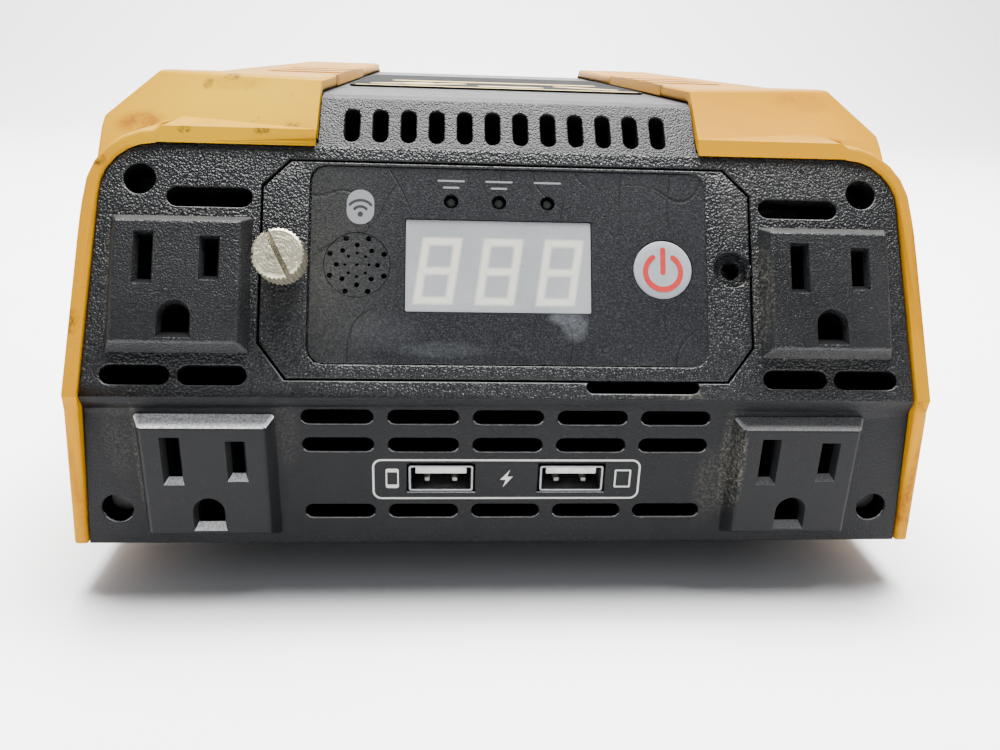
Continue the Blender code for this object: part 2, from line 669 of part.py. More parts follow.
def make_remote_housing():
    """Octagonal bezel with a tray behind it for the display board."""
    bezel = shrink_octagon(0.4)
    housing = part("remote_housing", extruded(bezel, -PANEL_FLANGE, 0.0), UPPER,
                   BLACK_PLASTIC, "black_plastic")
    core_height = PANEL_CORE_S[1] - PANEL_CORE_S[0]
    middle = at(UPPER, 0, sum(PANEL_CORE_S) / 2)
    join(housing, box(PANEL_CORE_HALF_WIDTH * 2, core_height, -PANEL_DEPTH, -1.0), middle)
    cut(housing, box(PANEL_CORE_HALF_WIDTH * 2 - 3, core_height - 3, -PANEL_DEPTH - 3, -2.6),
        middle)
    overlay_height = OVERLAY_S[1] - OVERLAY_S[0]
    overlay_middle = at(UPPER, 0, sum(OVERLAY_S) / 2)
    cut(housing, extruded(rounded(OVERLAY_HALF_WIDTH * 2, overlay_height, 3.2, 3), -0.9, 3),
        overlay_middle)
    x, s, width, height = DISPLAY
    cut(housing, box(width + 0.6, height + 0.6, -6, 3), at(UPPER, x, s))
    for led_x in LED_XS:
        cut(housing, cylinder(LED_RADIUS, -6, 3, 12), at(UPPER, led_x, LED_S))
    cut(housing, cylinder(BUTTON_RADIUS + 0.5, -6, 3, 24), at(UPPER, *BUTTON_AT))
    cut(housing, cylinder(SPEAKER_RADIUS - 0.9, -6, 3, 20), at(UPPER, *SPEAKER_AT))
    for place in (THUMBSCREW_AT, BLIND_HOLE_AT):
        cut(housing, cylinder(1.9, -6, 3, 16), at(UPPER, *place))
    cut(housing, cylinder(3.7, -1.4, 3, 24), at(UPPER, *BLIND_HOLE_AT))
    return housing


def make_remote_overlay():
    """Smooth printed sheet over the bezel, open at the display, lamps, button and speaker."""
    middle_s = sum(OVERLAY_S) / 2
    outline = rounded(OVERLAY_HALF_WIDTH * 2 - 0.4, OVERLAY_S[1] - OVERLAY_S[0] - 0.4, 3.0, 4)
    x, s, width, height = DISPLAY
    holes = [[(px + x, py + s - middle_s) for px, py in rounded(width + 0.2, height + 0.2, 0.4, 1)],
             circle(BUTTON_RADIUS + 0.35, 24, BUTTON_AT[0], BUTTON_AT[1] - middle_s),
             circle(SPEAKER_RADIUS - 0.6, 24, SPEAKER_AT[0], SPEAKER_AT[1] - middle_s)]
    holes += [circle(LED_RADIUS - 0.1, 12, led_x, LED_S - middle_s) for led_x in LED_XS]
    return part("remote_overlay", extruded(outline, -0.75, -0.75 + OVERLAY_THICKNESS, holes),
                at(UPPER, 0, middle_s), dict(color=(0.035, 0.036, 0.038), roughness=0.35),
                "overlay_film")


def make_display():
    x, s, width, height = DISPLAY
    centre = at(UPPER, x, s)
    part("display_window", box(width - 0.2, height - 0.2, -1.6, -0.3), centre,
         dict(color=(0.6, 0.6, 0.56), roughness=0.4), "display_face")
    part("display_module", box(width - 0.2, height - 0.2, -8.0, -1.9), centre,
         dict(color=(0.75, 0.75, 0.72), roughness=0.5), "display_body")


def make_remote_inside():
    """Board, lamps, buzzer and switch behind the overlay, and the rear lid."""
    core_height = PANEL_CORE_S[1] - PANEL_CORE_S[0]
    middle = at(UPPER, 0, sum(PANEL_CORE_S) / 2)
    part("remote_board", box(PANEL_CORE_HALF_WIDTH * 2 - 4, core_height - 4, -10.0, -8.4),
         middle, CIRCUIT_BOARD, "circuit_board")
    part("remote_back", box(PANEL_CORE_HALF_WIDTH * 2 - 3.6, core_height - 3.6, -14.6, -12.6),
         middle, BLACK_PLASTIC, "black_plastic")
    for name, x in zip(("indicator_input", "indicator_output", "indicator_power"), LED_XS):
        profile = [(0.0, -0.9), (0.8, -1.1), (1.35, -1.9), (1.35, -8.1), (0.0, -8.1)]
        turned(name, profile, at(UPPER, x, LED_S), 12,
               dict(color=(0.5, 0.5, 0.48), roughness=0.3), "lamp")
    part("buzzer", cylinder(5.6, -8.1, -3.0, 20), at(UPPER, *SPEAKER_AT), BLACK_PLASTIC,
         "black_plastic")
    part("button_switch", box(6.0, 6.0, -8.1, -4.9), at(UPPER, *BUTTON_AT), NICKEL, "nickel")


def make_power_button():
    """Round cap that travels inwards; its frame lies on its own axis."""
    profile = [(0.0, -0.1), (BUTTON_RADIUS - 0.5, -0.1), (BUTTON_RADIUS - 0.05, -0.35),
               (BUTTON_RADIUS - 0.05, -2.4), (1.6, -2.4), (1.6, -4.1), (0.0, -4.1)]
    return turned("power_button", profile, at(UPPER, *BUTTON_AT), 28,
                  dict(color=(0.55, 0.56, 0.55), roughness=0.45), "button_face")


def make_thumbscrew():
    """Knurled and slotted captive screw that holds the remote panel."""
    frame = at(UPPER, *THUMBSCREW_AT)
    low, high = THUMBSCREW_HEAD
    teeth = 36
    knurl = [(radius * math.cos(math.pi * i / teeth), radius * math.sin(math.pi * i / teeth))
             for i, radius in enumerate([5.0, 4.75] * teeth)]
    screw = part("thumbscrew", extruded(knurl, low, high), frame, NICKEL, "nickel")
    join(screw, cylinder(3.2, GAP, 1.5, 20), frame)
    join(screw, cylinder(1.25, -6.0, 1.0, 12), frame)
    cut(screw, box(12.0, 1.1, high - 1.4, high + 2),
        frame @ Matrix.Rotation(math.radians(-63), 4, "Z"))
    return screw


# ---------------------------------------------------------------- rear fittings

def make_fan(side, name):
    """Frame, rotor and outer guard of one cooling fan."""
    centre = at(REAR, side * FAN_X, FAN_Z)
    back = -3.0 - GAP
    frame = part(f"{name}_frame", extruded(rounded(FAN_SIZE, FAN_SIZE, 3.0, 2),
                                           back - FAN_DEPTH, back), centre,
                 BLACK_PLASTIC, "black_plastic")
    cut(frame, cylinder(23.2, back - FAN_DEPTH + 1.6, back + 2, 32), centre)
    for turn in range(4):
        arms = centre @ Matrix.Rotation(math.radians(45 + 90 * turn), 4, "Z")
        cut(frame, extruded(arc(0, 0, 21.5, -38, 38, 8) + arc(0, 0, 11.5, 38, -38, 4),
                            back - FAN_DEPTH - 2, back), arms)
    blades = part(f"{name}_rotor", cylinder(9.5, back - FAN_DEPTH + 3.0, back - 1.5, 24),
                  centre, BLACK_PLASTIC, "black_plastic")
    for index in range(7):
        blade = extruded([(7.0, -0.5), (21.6, -0.5), (21.6, 0.5), (7.0, 0.5)], -4.6, 4.6)
        turn = Matrix.Rotation(math.tau * index / 7, 4, "Z")
        pitch = Matrix.Rotation(math.radians(50), 4, "X")
        join(blades, blade, at(centre @ turn, 0, 0, back - FAN_DEPTH / 2 + 0.8) @ pitch)
    guard = part(f"{name}_guard", extruded(circle(24.6, 32), GAP, 1.5, [circle(22.2, 32)]),
                 centre, BLACK_METAL, "black_metal")
    for radius in (16.6, 11.0, 5.4):
        ring = extruded(circle(radius + 0.8, 24), GAP, 1.5, [circle(radius - 0.8, 24)])
        join(guard, ring, centre)
    for turn in range(2):
        bar = box(46.0, 1.6, GAP + 0.1, 1.4)
        join(guard, bar, centre @ Matrix.Rotation(math.radians(45 + 90 * turn), 4, "Z"))


def make_terminal(side, name, knob_look, knob_material):
    """Battery stud with a clamping knob that turns on it."""
    centre = at(REAR, side * STUD_X, STUD_Z)
    stud = part(f"terminal_stud_{name}", cylinder(4.0, -9.0, STUD_REACH, 20), centre,
                BRASS, "brass")
    join(stud, cylinder(7.0, 3.0 + GAP, 4.6, 20), centre)
    flutes = 10
    grip = [((9.0 if i % 2 else 7.9) * math.cos(math.pi * i / flutes),
             (9.0 if i % 2 else 7.9) * math.sin(math.pi * i / flutes))
            for i in range(2 * flutes)]
    knob = part(f"terminal_knob_{name}", extruded(grip, 7.6, 17.5), centre,
                knob_look, knob_material)
    join(knob, cylinder(6.6, 6.0, 8.0, 20), centre)
    cut(knob, cylinder(4.12, 0, 30, 20), centre)


def make_terminal_block():
    """Insulating plate that both battery studs pass through."""
    block = part("terminal_block", extruded(rounded(58.0, 24.0, 4.0, 3), GAP, 3.0),
                 at(REAR, 0, STUD_Z), BLACK_PLASTIC, "black_plastic")
    for side in (-1, 1):
        cut(block, cylinder(4.4, -2, 6, 16), at(REAR, side * STUD_X, STUD_Z))


def make_ground_screw():
    centre = at(REAR, 0, -27.0)
    screw = part("ground_screw", cylinder(4.2, GAP, 3.2, 6), centre, NICKEL, "nickel")
    join(screw, cylinder(2.0, -8.0, 1.0, 12), centre)


def make_cap_screws():
    for side, word in ((-1, "left"), (1, "right")):
        for name, frame, depth in (
                (f"front_screw_upper_{word}",
                 at(UPPER, side * UPPER_SCREW[0], UPPER_SCREW[1]), -7.0),
                (f"front_screw_lower_{word}",
                 at(LOWER, side * LOWER_SCREW[0], LOWER_SCREW[1]), -4.4)):
            screw = part(name, cylinder(2.8, depth - 1.8, depth, 12), frame, NICKEL, "nickel")
            join(screw, cylinder(1.5, depth - 9.0, depth - 1.0, 10), frame)
        for name, z in ((f"rear_screw_upper_{word}", 22.0), (f"rear_screw_lower_{word}", -31.0)):
            frame = at(REAR, -side * REAR_SCREW_X, z)
            screw = part(name, cylinder(2.9, GAP, 2.0, 12), frame, NICKEL, "nickel")
            join(screw, cylinder(1.5, -8.0, 1.0, 10), frame)


# ---------------------------------------------------------------- inside

def inside_block(name, size, middle, look, look_name):
    """A block inside the housing; middle is (x, y back from the front, z above the fold)."""
    x, y, z = middle
    frame = Matrix.Translation(Vector((x, FRONT + y, FOLD_HEIGHT + z)) * MM)
    return part(name, box(size[0], size[1], -size[2] / 2, size[2] / 2), frame, look, look_name)


def make_inside():
    inside_block("main_board", (150.0, 116.0, 1.6), (0, 118.0, -28.0), CIRCUIT_BOARD,
                 "circuit_board")
    inside_block("usb_board", (48.0, 12.0, 1.4), (0, 20.5, -26.5), CIRCUIT_BOARD,
                 "circuit_board")
    for side, word in ((-1, "left"), (1, "right")):
        transformer = inside_block(f"transformer_{word}", (34.0, 38.0, 34.0),
                                   (side * 26.0, 118.0, -9.5),
                                   dict(color=(0.35, 0.25, 0.08), roughness=0.6), "winding")
        cut(transformer, box(22.0, 40.0, 7.0, 30.0), transformer.matrix_world)
        sink = inside_block(f"heat_sink_{word}", (16.0, 96.0, 40.0), (side * 64.0, 118.0, -6.5),
                            dict(color=(0.6, 0.6, 0.6), roughness=0.4, metallic=1.0), "aluminium")
        for index in range(4):
            cut(sink, box(7.0, 100.0, -1.6, 1.6),
                at(sink.matrix_world, side * 6.0, 0, 9.0 * index - 13.5))
    base = Matrix.Translation(Vector((0, FRONT + 82.0, FOLD_HEIGHT - 26.9)) * MM)
    part("capacitor", cylinder(11.0, 0, 40.0, 20), base,
         dict(color=(0.03, 0.05, 0.2), roughness=0.4), "capacitor_sleeve")


def main():
    make_front_cap()
    make_rear_cap()
    make_sleeve()
    make_label()
    for side, word in ((-1, "left"), (1, "right")):
        make_front_bumper(side, f"front_bumper_{word}")
        make_side_rail(side, f"side_rail_{word}")
        make_rear_bumper(side, f"rear_bumper_{word}")
        make_outlet(f"outlet_upper_{word}", UPPER, side * UPPER_OUTLET[0], UPPER_OUTLET[1])
        make_outlet(f"outlet_lower_{word}", LOWER, side * LOWER_OUTLET[0], LOWER_OUTLET[1])
        make_usb_port(f"usb_port_{word}", side * USB_X)
        make_fan(-side, f"fan_{word}")
    make_feet()
    make_remote_housing()
    make_remote_overlay()
    make_display()
    make_remote_inside()
    make_power_button()
    make_thumbscrew()
    make_terminal(1, "negative", dict(color=(0.02, 0.02, 0.02), roughness=0.5), "knob_black")
    make_terminal(-1, "positive", dict(color=(0.6, 0.03, 0.02), roughness=0.5), "knob_red")
    make_terminal_block()
    make_ground_screw()
    make_cap_screws()
    make_inside()
    bpy.context.view_layer.update()
    for item in PARTS.objects:
        settle(item)


main()
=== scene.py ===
"""Looks of the power inverter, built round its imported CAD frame.

Numbers in outlines and positions are millimetres; the helpers turn them into metres.
X runs across the inverter, Y from its front to its back, Z up.
"""
import math
import random

import bmesh
import bpy
from mathutils import Matrix, Vector


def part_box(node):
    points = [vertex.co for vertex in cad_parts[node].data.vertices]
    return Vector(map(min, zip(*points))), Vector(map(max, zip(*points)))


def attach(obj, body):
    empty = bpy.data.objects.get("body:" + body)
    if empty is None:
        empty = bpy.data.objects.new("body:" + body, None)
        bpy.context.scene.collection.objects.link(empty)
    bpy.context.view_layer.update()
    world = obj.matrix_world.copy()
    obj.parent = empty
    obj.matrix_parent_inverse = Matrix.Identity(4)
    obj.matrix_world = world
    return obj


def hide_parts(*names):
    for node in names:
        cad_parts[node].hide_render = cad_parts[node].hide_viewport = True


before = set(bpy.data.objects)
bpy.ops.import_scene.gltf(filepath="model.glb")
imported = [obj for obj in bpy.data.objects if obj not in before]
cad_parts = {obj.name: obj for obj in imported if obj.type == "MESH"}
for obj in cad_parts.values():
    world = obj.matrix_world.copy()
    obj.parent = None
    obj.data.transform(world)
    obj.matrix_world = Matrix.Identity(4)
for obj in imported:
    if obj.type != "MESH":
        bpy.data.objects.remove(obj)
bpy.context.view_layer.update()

MM = 0.001
random.seed(7)

# The CAD's own frames: where its two front planes meet, and how far the upper one leans back
CAP_LOW, CAP_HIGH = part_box("front_cap")
TILT = 27.5
NOSE = 4.4
NOSE_Z = -3.9
FRONT = CAP_LOW.y / MM + NOSE * math.sin(math.radians(TILT))
FOLD_HEIGHT = 48.2
LENGTH = 222.0

UPPER_OUTLET = (65.5, 23.0)
LOWER_OUTLET = (60.8, -17.0)
OUTLET_BASE = 27.4
OUTLET_FACE = 24.2
OUTLET_PROUD = 3.2
OUTLET_DROP = 5.0
SLOT_PITCH = 12.7
GROUND_DROP = 11.9
USB_X = 13.7
USB_Z = -22.7
USB_SIZE = (13.4, 5.9)
DISPLAY = (-2.3, 22.6, 37.9, 19.1)
OVERLAY_HALF_WIDTH = 40.85
OVERLAY_S = (2.3, 43.0)
DIGIT = (6.4, 12.2)
DIGIT_PITCH = 12.45
SLANT = 0.145
LED_XS = (-12.1, -2.3, 7.7)
LED_S = 36.0
BUTTON_AT = (31.5, 22.5)
BUTTON_RADIUS = 6.15
SPEAKER_AT = (-30.9, 22.5)
THUMBSCREW_AT = (-45.3, 22.7)
CAP_EDGE = 0.32
PANEL_EDGE = 0.36
NOSE_ROUND = 1.6
REAR_TOP_X = 66.0            # upper outer corner of the rear blocks
BLOCK_TOP = 101.0            # only the rear blocks' top edges lie above this
LIP_SET = 0.5                # bumper lip in front of the lower face
NOSE_SET = 2.2               # bumper lip in front of the lower face, at the fold
VENT_TILT = 44.7
VENT_EDGE = (21.47, 41.25)


# ---------------------------------------------------------------- frames and meshes

def face_frame(tilt, y=0.0, z=0.0):
    """Local X across, local Y up a face that leans back by tilt, local Z out of it."""
    place = Matrix.Translation(Vector((0, FRONT + y, FOLD_HEIGHT + z)) * MM)
    return place @ Matrix.Rotation(math.radians(90 - tilt), 4, "X")


UPPER = face_frame(TILT)
LOWER = face_frame(0.0)
REAR = face_frame(0.0, y=LENGTH) @ Matrix.Rotation(math.pi, 4, "Y")


def at(place, x, y, z=0.0):
    return place @ Matrix.Translation(Vector((x, y, z)) * MM)


def turn(place, degrees, axis="Z"):
    return place @ Matrix.Rotation(math.radians(degrees), 4, axis)


def arc(x, y, radius, start, end, steps):
    """Points on an arc, angles in degrees."""
    return [(x + radius * math.cos(math.radians(start + (end - start) * i / steps)),
             y + radius * math.sin(math.radians(start + (end - start) * i / steps)))
            for i in range(steps + 1)]


def circle(radius, steps=32, x=0.0, y=0.0):
    return arc(x, y, radius, 0, 360, steps)[:-1]


def rounded(width, height, radius, steps=6, x=0.0, y=0.0):
    """A rectangle with round corners about (x, y)."""
    half_x = width / 2 - radius
    half_y = height / 2 - radius
    return (arc(x + half_x, y + half_y, radius, 0, 90, steps)
            + arc(x - half_x, y + half_y, radius, 90, 180, steps)
            + arc(x - half_x, y - half_y, radius, 180, 270, steps)
            + arc(x + half_x, y - half_y, radius, 270, 360, steps))


def stroke(points, width, steps=6):
    """Outline of a pen line through points, with round ends."""
    outline = []
    count = len(points)
    for pass_points in (points, points[::-1]):
        for i, (x, y) in enumerate(pass_points):
            ahead = pass_points[min(i + 1, count - 1)]
            behind = pass_points[max(i - 1, 0)]
            angle = math.degrees(math.atan2(ahead[1] - behind[1], ahead[0] - behind[0]))
            outline.append((x + width / 2 * math.sin(math.radians(angle)),
                            y - width / 2 * math.cos(math.radians(angle))))
            if i == count - 1:
                outline += arc(x, y, width / 2, angle - 90, angle + 90, steps)[1:-1]
    return outline


def mesh_of(work, name):
    bmesh.ops.recalc_face_normals(work, faces=work.faces)
    if work.calc_volume(signed=True) < 0:
        bmesh.ops.reverse_faces(work, faces=work.faces)
    mesh = bpy.data.meshes.new(name)
    work.to_mesh(mesh)
    work.free()
    return mesh


def extruded(outline, low, high, holes=()):
    """A flat outline in local XY, made solid from low to high along local Z."""
    curve = bpy.data.curves.new("outline", "CURVE")
    curve.dimensions = "2D"
    curve.fill_mode = "BOTH"
    curve.extrude = (high - low) / 2 * MM
    for loop in (outline, *holes):
        spline = curve.splines.new("POLY")
        spline.points.add(len(loop) - 1)
        for point, (x, y) in zip(spline.points, loop):
            point.co = (x * MM, y * MM, 0.0, 1.0)
        spline.use_cyclic_u = True
    holder = bpy.data.objects.new("outline", curve)
    bpy.context.scene.collection.objects.link(holder)
    bpy.context.view_layer.update()
    evaluated = holder.evaluated_get(bpy.context.evaluated_depsgraph_get())
    mesh = bpy.data.meshes.new_from_object(evaluated)
    bpy.data.objects.remove(holder)
    work = bmesh.new()
    work.from_mesh(mesh)
    bmesh.ops.remove_doubles(work, verts=work.verts, dist=0.001 * MM)
    bmesh.ops.translate(work, verts=work.verts, vec=(0, 0, (low + high) / 2 * MM))
    return mesh_of(work, "extruded")


def lofted(lower, upper, low, high):
    """A solid between two outlines with the same number of points."""
    work = bmesh.new()
    rings = [[work.verts.new((x * MM, y * MM, z * MM)) for x, y in outline]
             for outline, z in ((lower, low), (upper, high))]
    count = len(lower)
    for i in range(count):
        j = (i + 1) % count
        work.faces.new((rings[0][i], rings[0][j], rings[1][j], rings[1][i]))
    work.faces.new(rings[0][::-1])
    work.faces.new(rings[1])
    return mesh_of(work, "lofted")


def tapered(base, top, low, high):
    """A block whose upper rectangle is another size; base and top are (x, y) sizes."""
    def corners(size):
        return [(sx * size[0] / 2, sy * size[1] / 2)
                for sx, sy in ((-1, -1), (1, -1), (1, 1), (-1, 1))]
    return lofted(corners(base), corners(top), low, high)


def spun(profile, steps):
    """A round solid about local Z from a profile (radius, height) that runs from top to bottom."""
    work = bmesh.new()
    rings = []
    for radius, height in profile:
        if radius < 1e-6:
            rings.append([work.verts.new((0, 0, height * MM))])
        else:
            rings.append([work.verts.new((x * MM, y * MM, height * MM))
                          for x, y in circle(radius, steps)])
    for upper, lower in zip(rings, rings[1:]):
        for i in range(steps):
            j = (i + 1) % steps
            corners = [upper[i % len(upper)], upper[j % len(upper)],
                       lower[j % len(lower)], lower[i % len(lower)]]
            face = [v for k, v in enumerate(corners) if v not in corners[:k]]
            if len(face) > 2:
                work.faces.new(face)
    return mesh_of(work, "spun")


def applied(item):
    """Replaces an object's mesh by its evaluated one, without modifiers."""
    bpy.context.view_layer.update()
    evaluated = item.evaluated_get(bpy.context.evaluated_depsgraph_get())
    mesh = bpy.data.meshes.new_from_object(evaluated)
    item.modifiers.clear()
    item.data = mesh
    return item


def combined(mesh, place, tools):
    """A mesh after Boolean operations; tools are (operation, mesh, place)."""
    item = bpy.data.objects.new("work", mesh)
    bpy.context.scene.collection.objects.link(item)
    item.matrix_world = place
    helpers = []
    for operation, tool_mesh, tool_place in tools:
        helper = bpy.data.objects.new("helper", tool_mesh)
        bpy.context.scene.collection.objects.link(helper)
        helper.matrix_world = tool_place
        modifier = item.modifiers.new("boolean", "BOOLEAN")
        modifier.operation = operation
        modifier.object = helper
        helpers.append(helper)
    applied(item)
    result = item.data
    for helper in helpers:
        bpy.data.objects.remove(helper)
    bpy.data.objects.remove(item)
    return result


def clean(mesh, weld=0.002):
    """Welds doubled corners and dissolves the flat triangulation, so that bevels run clean."""
    work = bmesh.new()
    work.from_mesh(mesh)
    bmesh.ops.remove_doubles(work, verts=work.verts, dist=weld * MM)
    bmesh.ops.dissolve_degenerate(work, edges=work.edges, dist=weld * MM)
    bmesh.ops.dissolve_limit(work, angle_limit=math.radians(1.0), verts=work.verts,
                             edges=work.edges)
    return mesh_of(work, "clean")


def soften(item, width, segments=2, angle=30.0):
    """Rounds an object's sharp edges and shades it smooth."""
    bevel = item.modifiers.new("edges", "BEVEL")
    bevel.width = width * MM
    bevel.segments = segments
    bevel.limit_method = "ANGLE"
    bevel.angle_limit = math.radians(angle)
    bevel.use_clamp_overlap = True
    bevel.miter_outer = "MITER_ARC"
    applied(item)
    item.data.shade_smooth()
    weighted = item.modifiers.new("shading", "WEIGHTED_NORMAL")
    weighted.keep_sharp = True
    return item


def merged(meshes):
    """Several meshes as one."""
    work = bmesh.new()
    for mesh in meshes:
        work.from_mesh(mesh)
    return mesh_of(work, "merged")


def off_plane(point, plane):
    """Distance in millimetres of a point in metres from a plane (point in mm, normal)."""
    return abs((point / MM - plane[0]).dot(plane[1]))


def bevel_edges(mesh, size_of, segments):
    """Rounds each edge by size_of(edge), a width in millimetres."""
    work = bmesh.new()
    work.from_mesh(mesh)
    sizes = [size_of(edge) for edge in work.edges]
    weights = work.edges.layers.float.new("bevel_weight_edge")
    for edge, size in zip(work.edges, sizes):
        edge[weights] = size / max(sizes)
    holder = bpy.data.objects.new("rounded", mesh_of(work, "rounded"))
    bpy.context.scene.collection.objects.link(holder)
    bevel = holder.modifiers.new("edges", "BEVEL")
    bevel.width = max(sizes) * MM
    bevel.segments = segments
    bevel.limit_method = "WEIGHT"
    bevel.use_clamp_overlap = False
    bevel.miter_outer = "MITER_ARC"
    result = applied(holder).data
    bpy.data.objects.remove(holder)
    return result


def in_plane(edge, plane):
    return all(off_plane(vert.co, plane) < 0.03 for vert in edge.verts)


def round_rims(mesh, size_of, planes, segments=2):
    """Rounds edges of flat faces that are full of holes, then fills those faces anew."""
    work = bmesh.new()
    work.from_mesh(bevel_edges(mesh, size_of, segments))
    for plane in planes:
        faces = [face for face in work.faces
                 if face.normal.dot(plane[1]) > 0.99
                 and all(off_plane(v.co, plane) < 0.02 for v in face.verts)]
        bmesh.ops.delete(work, geom=faces, context="FACES")
        rims = [edge for edge in work.edges if len(edge.link_faces) == 1 and in_plane(edge, plane)]
        bmesh.ops.triangle_fill(work, use_beauty=True, edges=rims, normal=plane[1])
    return mesh_of(work, "rounded rims")


def turned(edge, angle=16.0):
    """True where two faces meet at more than angle."""
    return len(edge.link_faces) == 2 and edge.calc_face_angle(0.0) > math.radians(angle)


def roomy(edge, reach=0.5):
    """True where no neighbouring edge is too short for a bevel to run into."""
    return min(near.calc_length() for vert in edge.verts for near in vert.link_edges) > reach * MM


# ---------------------------------------------------------------- materials

class Nodes:
    """A material's node tree, with short calls to add and link nodes."""

    def __init__(self, name):
        self.material = bpy.data.materials.new(name)
        self.material.use_nodes = True
        self.tree = self.material.node_tree
        self.shader = self.tree.nodes["Principled BSDF"]
        self.space = self.tree.nodes.new("ShaderNodeTexCoord").outputs["Object"]

    def add(self, kind, **values):
        node = self.tree.nodes.new("ShaderNode" + kind)
        for key, value in values.items():
            if key in node.inputs:
                node.inputs[key].default_value = value
            else:
                setattr(node, key, value)
        return node

    def link(self, source, target):
        self.tree.links.new(source, target)

    def noise(self, scale, detail=3.0, rough=0.5, distortion=0.0, source=None):
        node = self.add("TexNoise", Scale=scale, Detail=detail, Roughness=rough,
                        Distortion=distortion)
        self.link(source or self.space, node.inputs["Vector"])
        return node.outputs["Fac"]

    def cells(self, scale, feature="F1", source=None):
        node = self.add("TexVoronoi", Scale=scale, feature=feature)
        self.link(source or self.space, node.inputs["Vector"])
        return node.outputs["Distance"]

    def ramp(self, source, *stops):
        """Maps a value through (position, grey) stops."""
        node = self.add("ValToRGB")
        elements = node.color_ramp.elements
        while len(elements) < len(stops):
            elements.new(0.5)
        for element, (position, grey) in zip(elements, stops):
            element.position = position
            element.color = (grey, grey, grey, 1.0)
        self.link(source, node.inputs["Fac"])
        return node.outputs["Color"]

    def math(self, operation, first, second=0.0, clamp=False):
        node = self.add("Math", operation=operation, use_clamp=clamp)
        for socket, value in zip(node.inputs, (first, second)):
            if isinstance(value, (int, float)):
                socket.default_value = value
            else:
                self.link(value, socket)
        return node.outputs["Value"]

    def vector(self, operation, first, second):
        node = self.add("VectorMath", operation=operation)
        self.link(first, node.inputs[0])
        if isinstance(second, bpy.types.NodeSocket):
            self.link(second, node.inputs[1])
        else:
            node.inputs[1].default_value = second
        return node.outputs["Value" if operation == "LENGTH" else "Vector"]

    def mix(self, factor, first, second):
        """Colour between first and second, each a colour or a socket."""
        node = self.add("Mix", data_type="RGBA")
        for socket, value in ((node.inputs[0], factor), (node.inputs[6], first),
                              (node.inputs[7], second)):
            if isinstance(value, bpy.types.NodeSocket):
                self.link(value, socket)
            elif isinstance(value, tuple):
                socket.default_value = (*value, 1.0)
            else:
                socket.default_value = value
        return node.outputs[2]

    def bump(self, height, distance, strength=1.0):
        node = self.add("Bump", Strength=strength, Distance=distance * MM)
        self.link(height, node.inputs["Height"])
        return node.outputs["Normal"]

    def upward(self):
        """1 on faces that look up, 0 on upright ones."""
        split = self.add("SeparateXYZ")
        self.link(self.add("NewGeometry").outputs["Normal"], split.inputs["Vector"])
        return split.outputs["Z"]

    def spot(self, centre, radii):
        """1 at a point, falling to 0 at an ellipsoid round it; all in millimetres."""
        offset = self.vector("SUBTRACT", self.space, Vector(centre) * MM)
        scaled = self.vector("DIVIDE", offset, Vector(radii) * MM)
        return self.math("SUBTRACT", 1.0, self.vector("LENGTH", scaled, scaled), clamp=True)

    def spots(self, places, scale, edge=(0.47, 0.68)):
        """Broken patches at (centre, radii, strength) places."""
        total = 0.0
        broken = self.ramp(self.noise(scale, 6.0, 0.8), (edge[0], 0.0), (edge[1], 1.0))
        for centre, radii, strength in places:
            cloud = self.ramp(self.spot(centre, radii), (0.0, 0.0), (0.45, 1.0))
            cloud = self.math("MULTIPLY", cloud, strength)
            total = self.math("MAXIMUM", cloud, total)
        return self.math("MULTIPLY", total, broken, clamp=True)

    def set(self, **sockets):
        """Sets or links the shader's sockets; underscores stand for spaces."""
        for key, value in sockets.items():
            socket = self.shader.inputs[key.replace("_", " ")]
            if isinstance(value, bpy.types.NodeSocket):
                self.link(value, socket)
            elif isinstance(value, tuple):
                socket.default_value = (*value, 1.0)
            else:
                socket.default_value = value
        return self.material


DUST = (0.150, 0.143, 0.112)
DUST_SPOTS = []


def face_point(place, x, y, z=0.0):
    """A point of a face frame, in world millimetres."""
    return tuple(at(place, x, y, z).translation / MM)


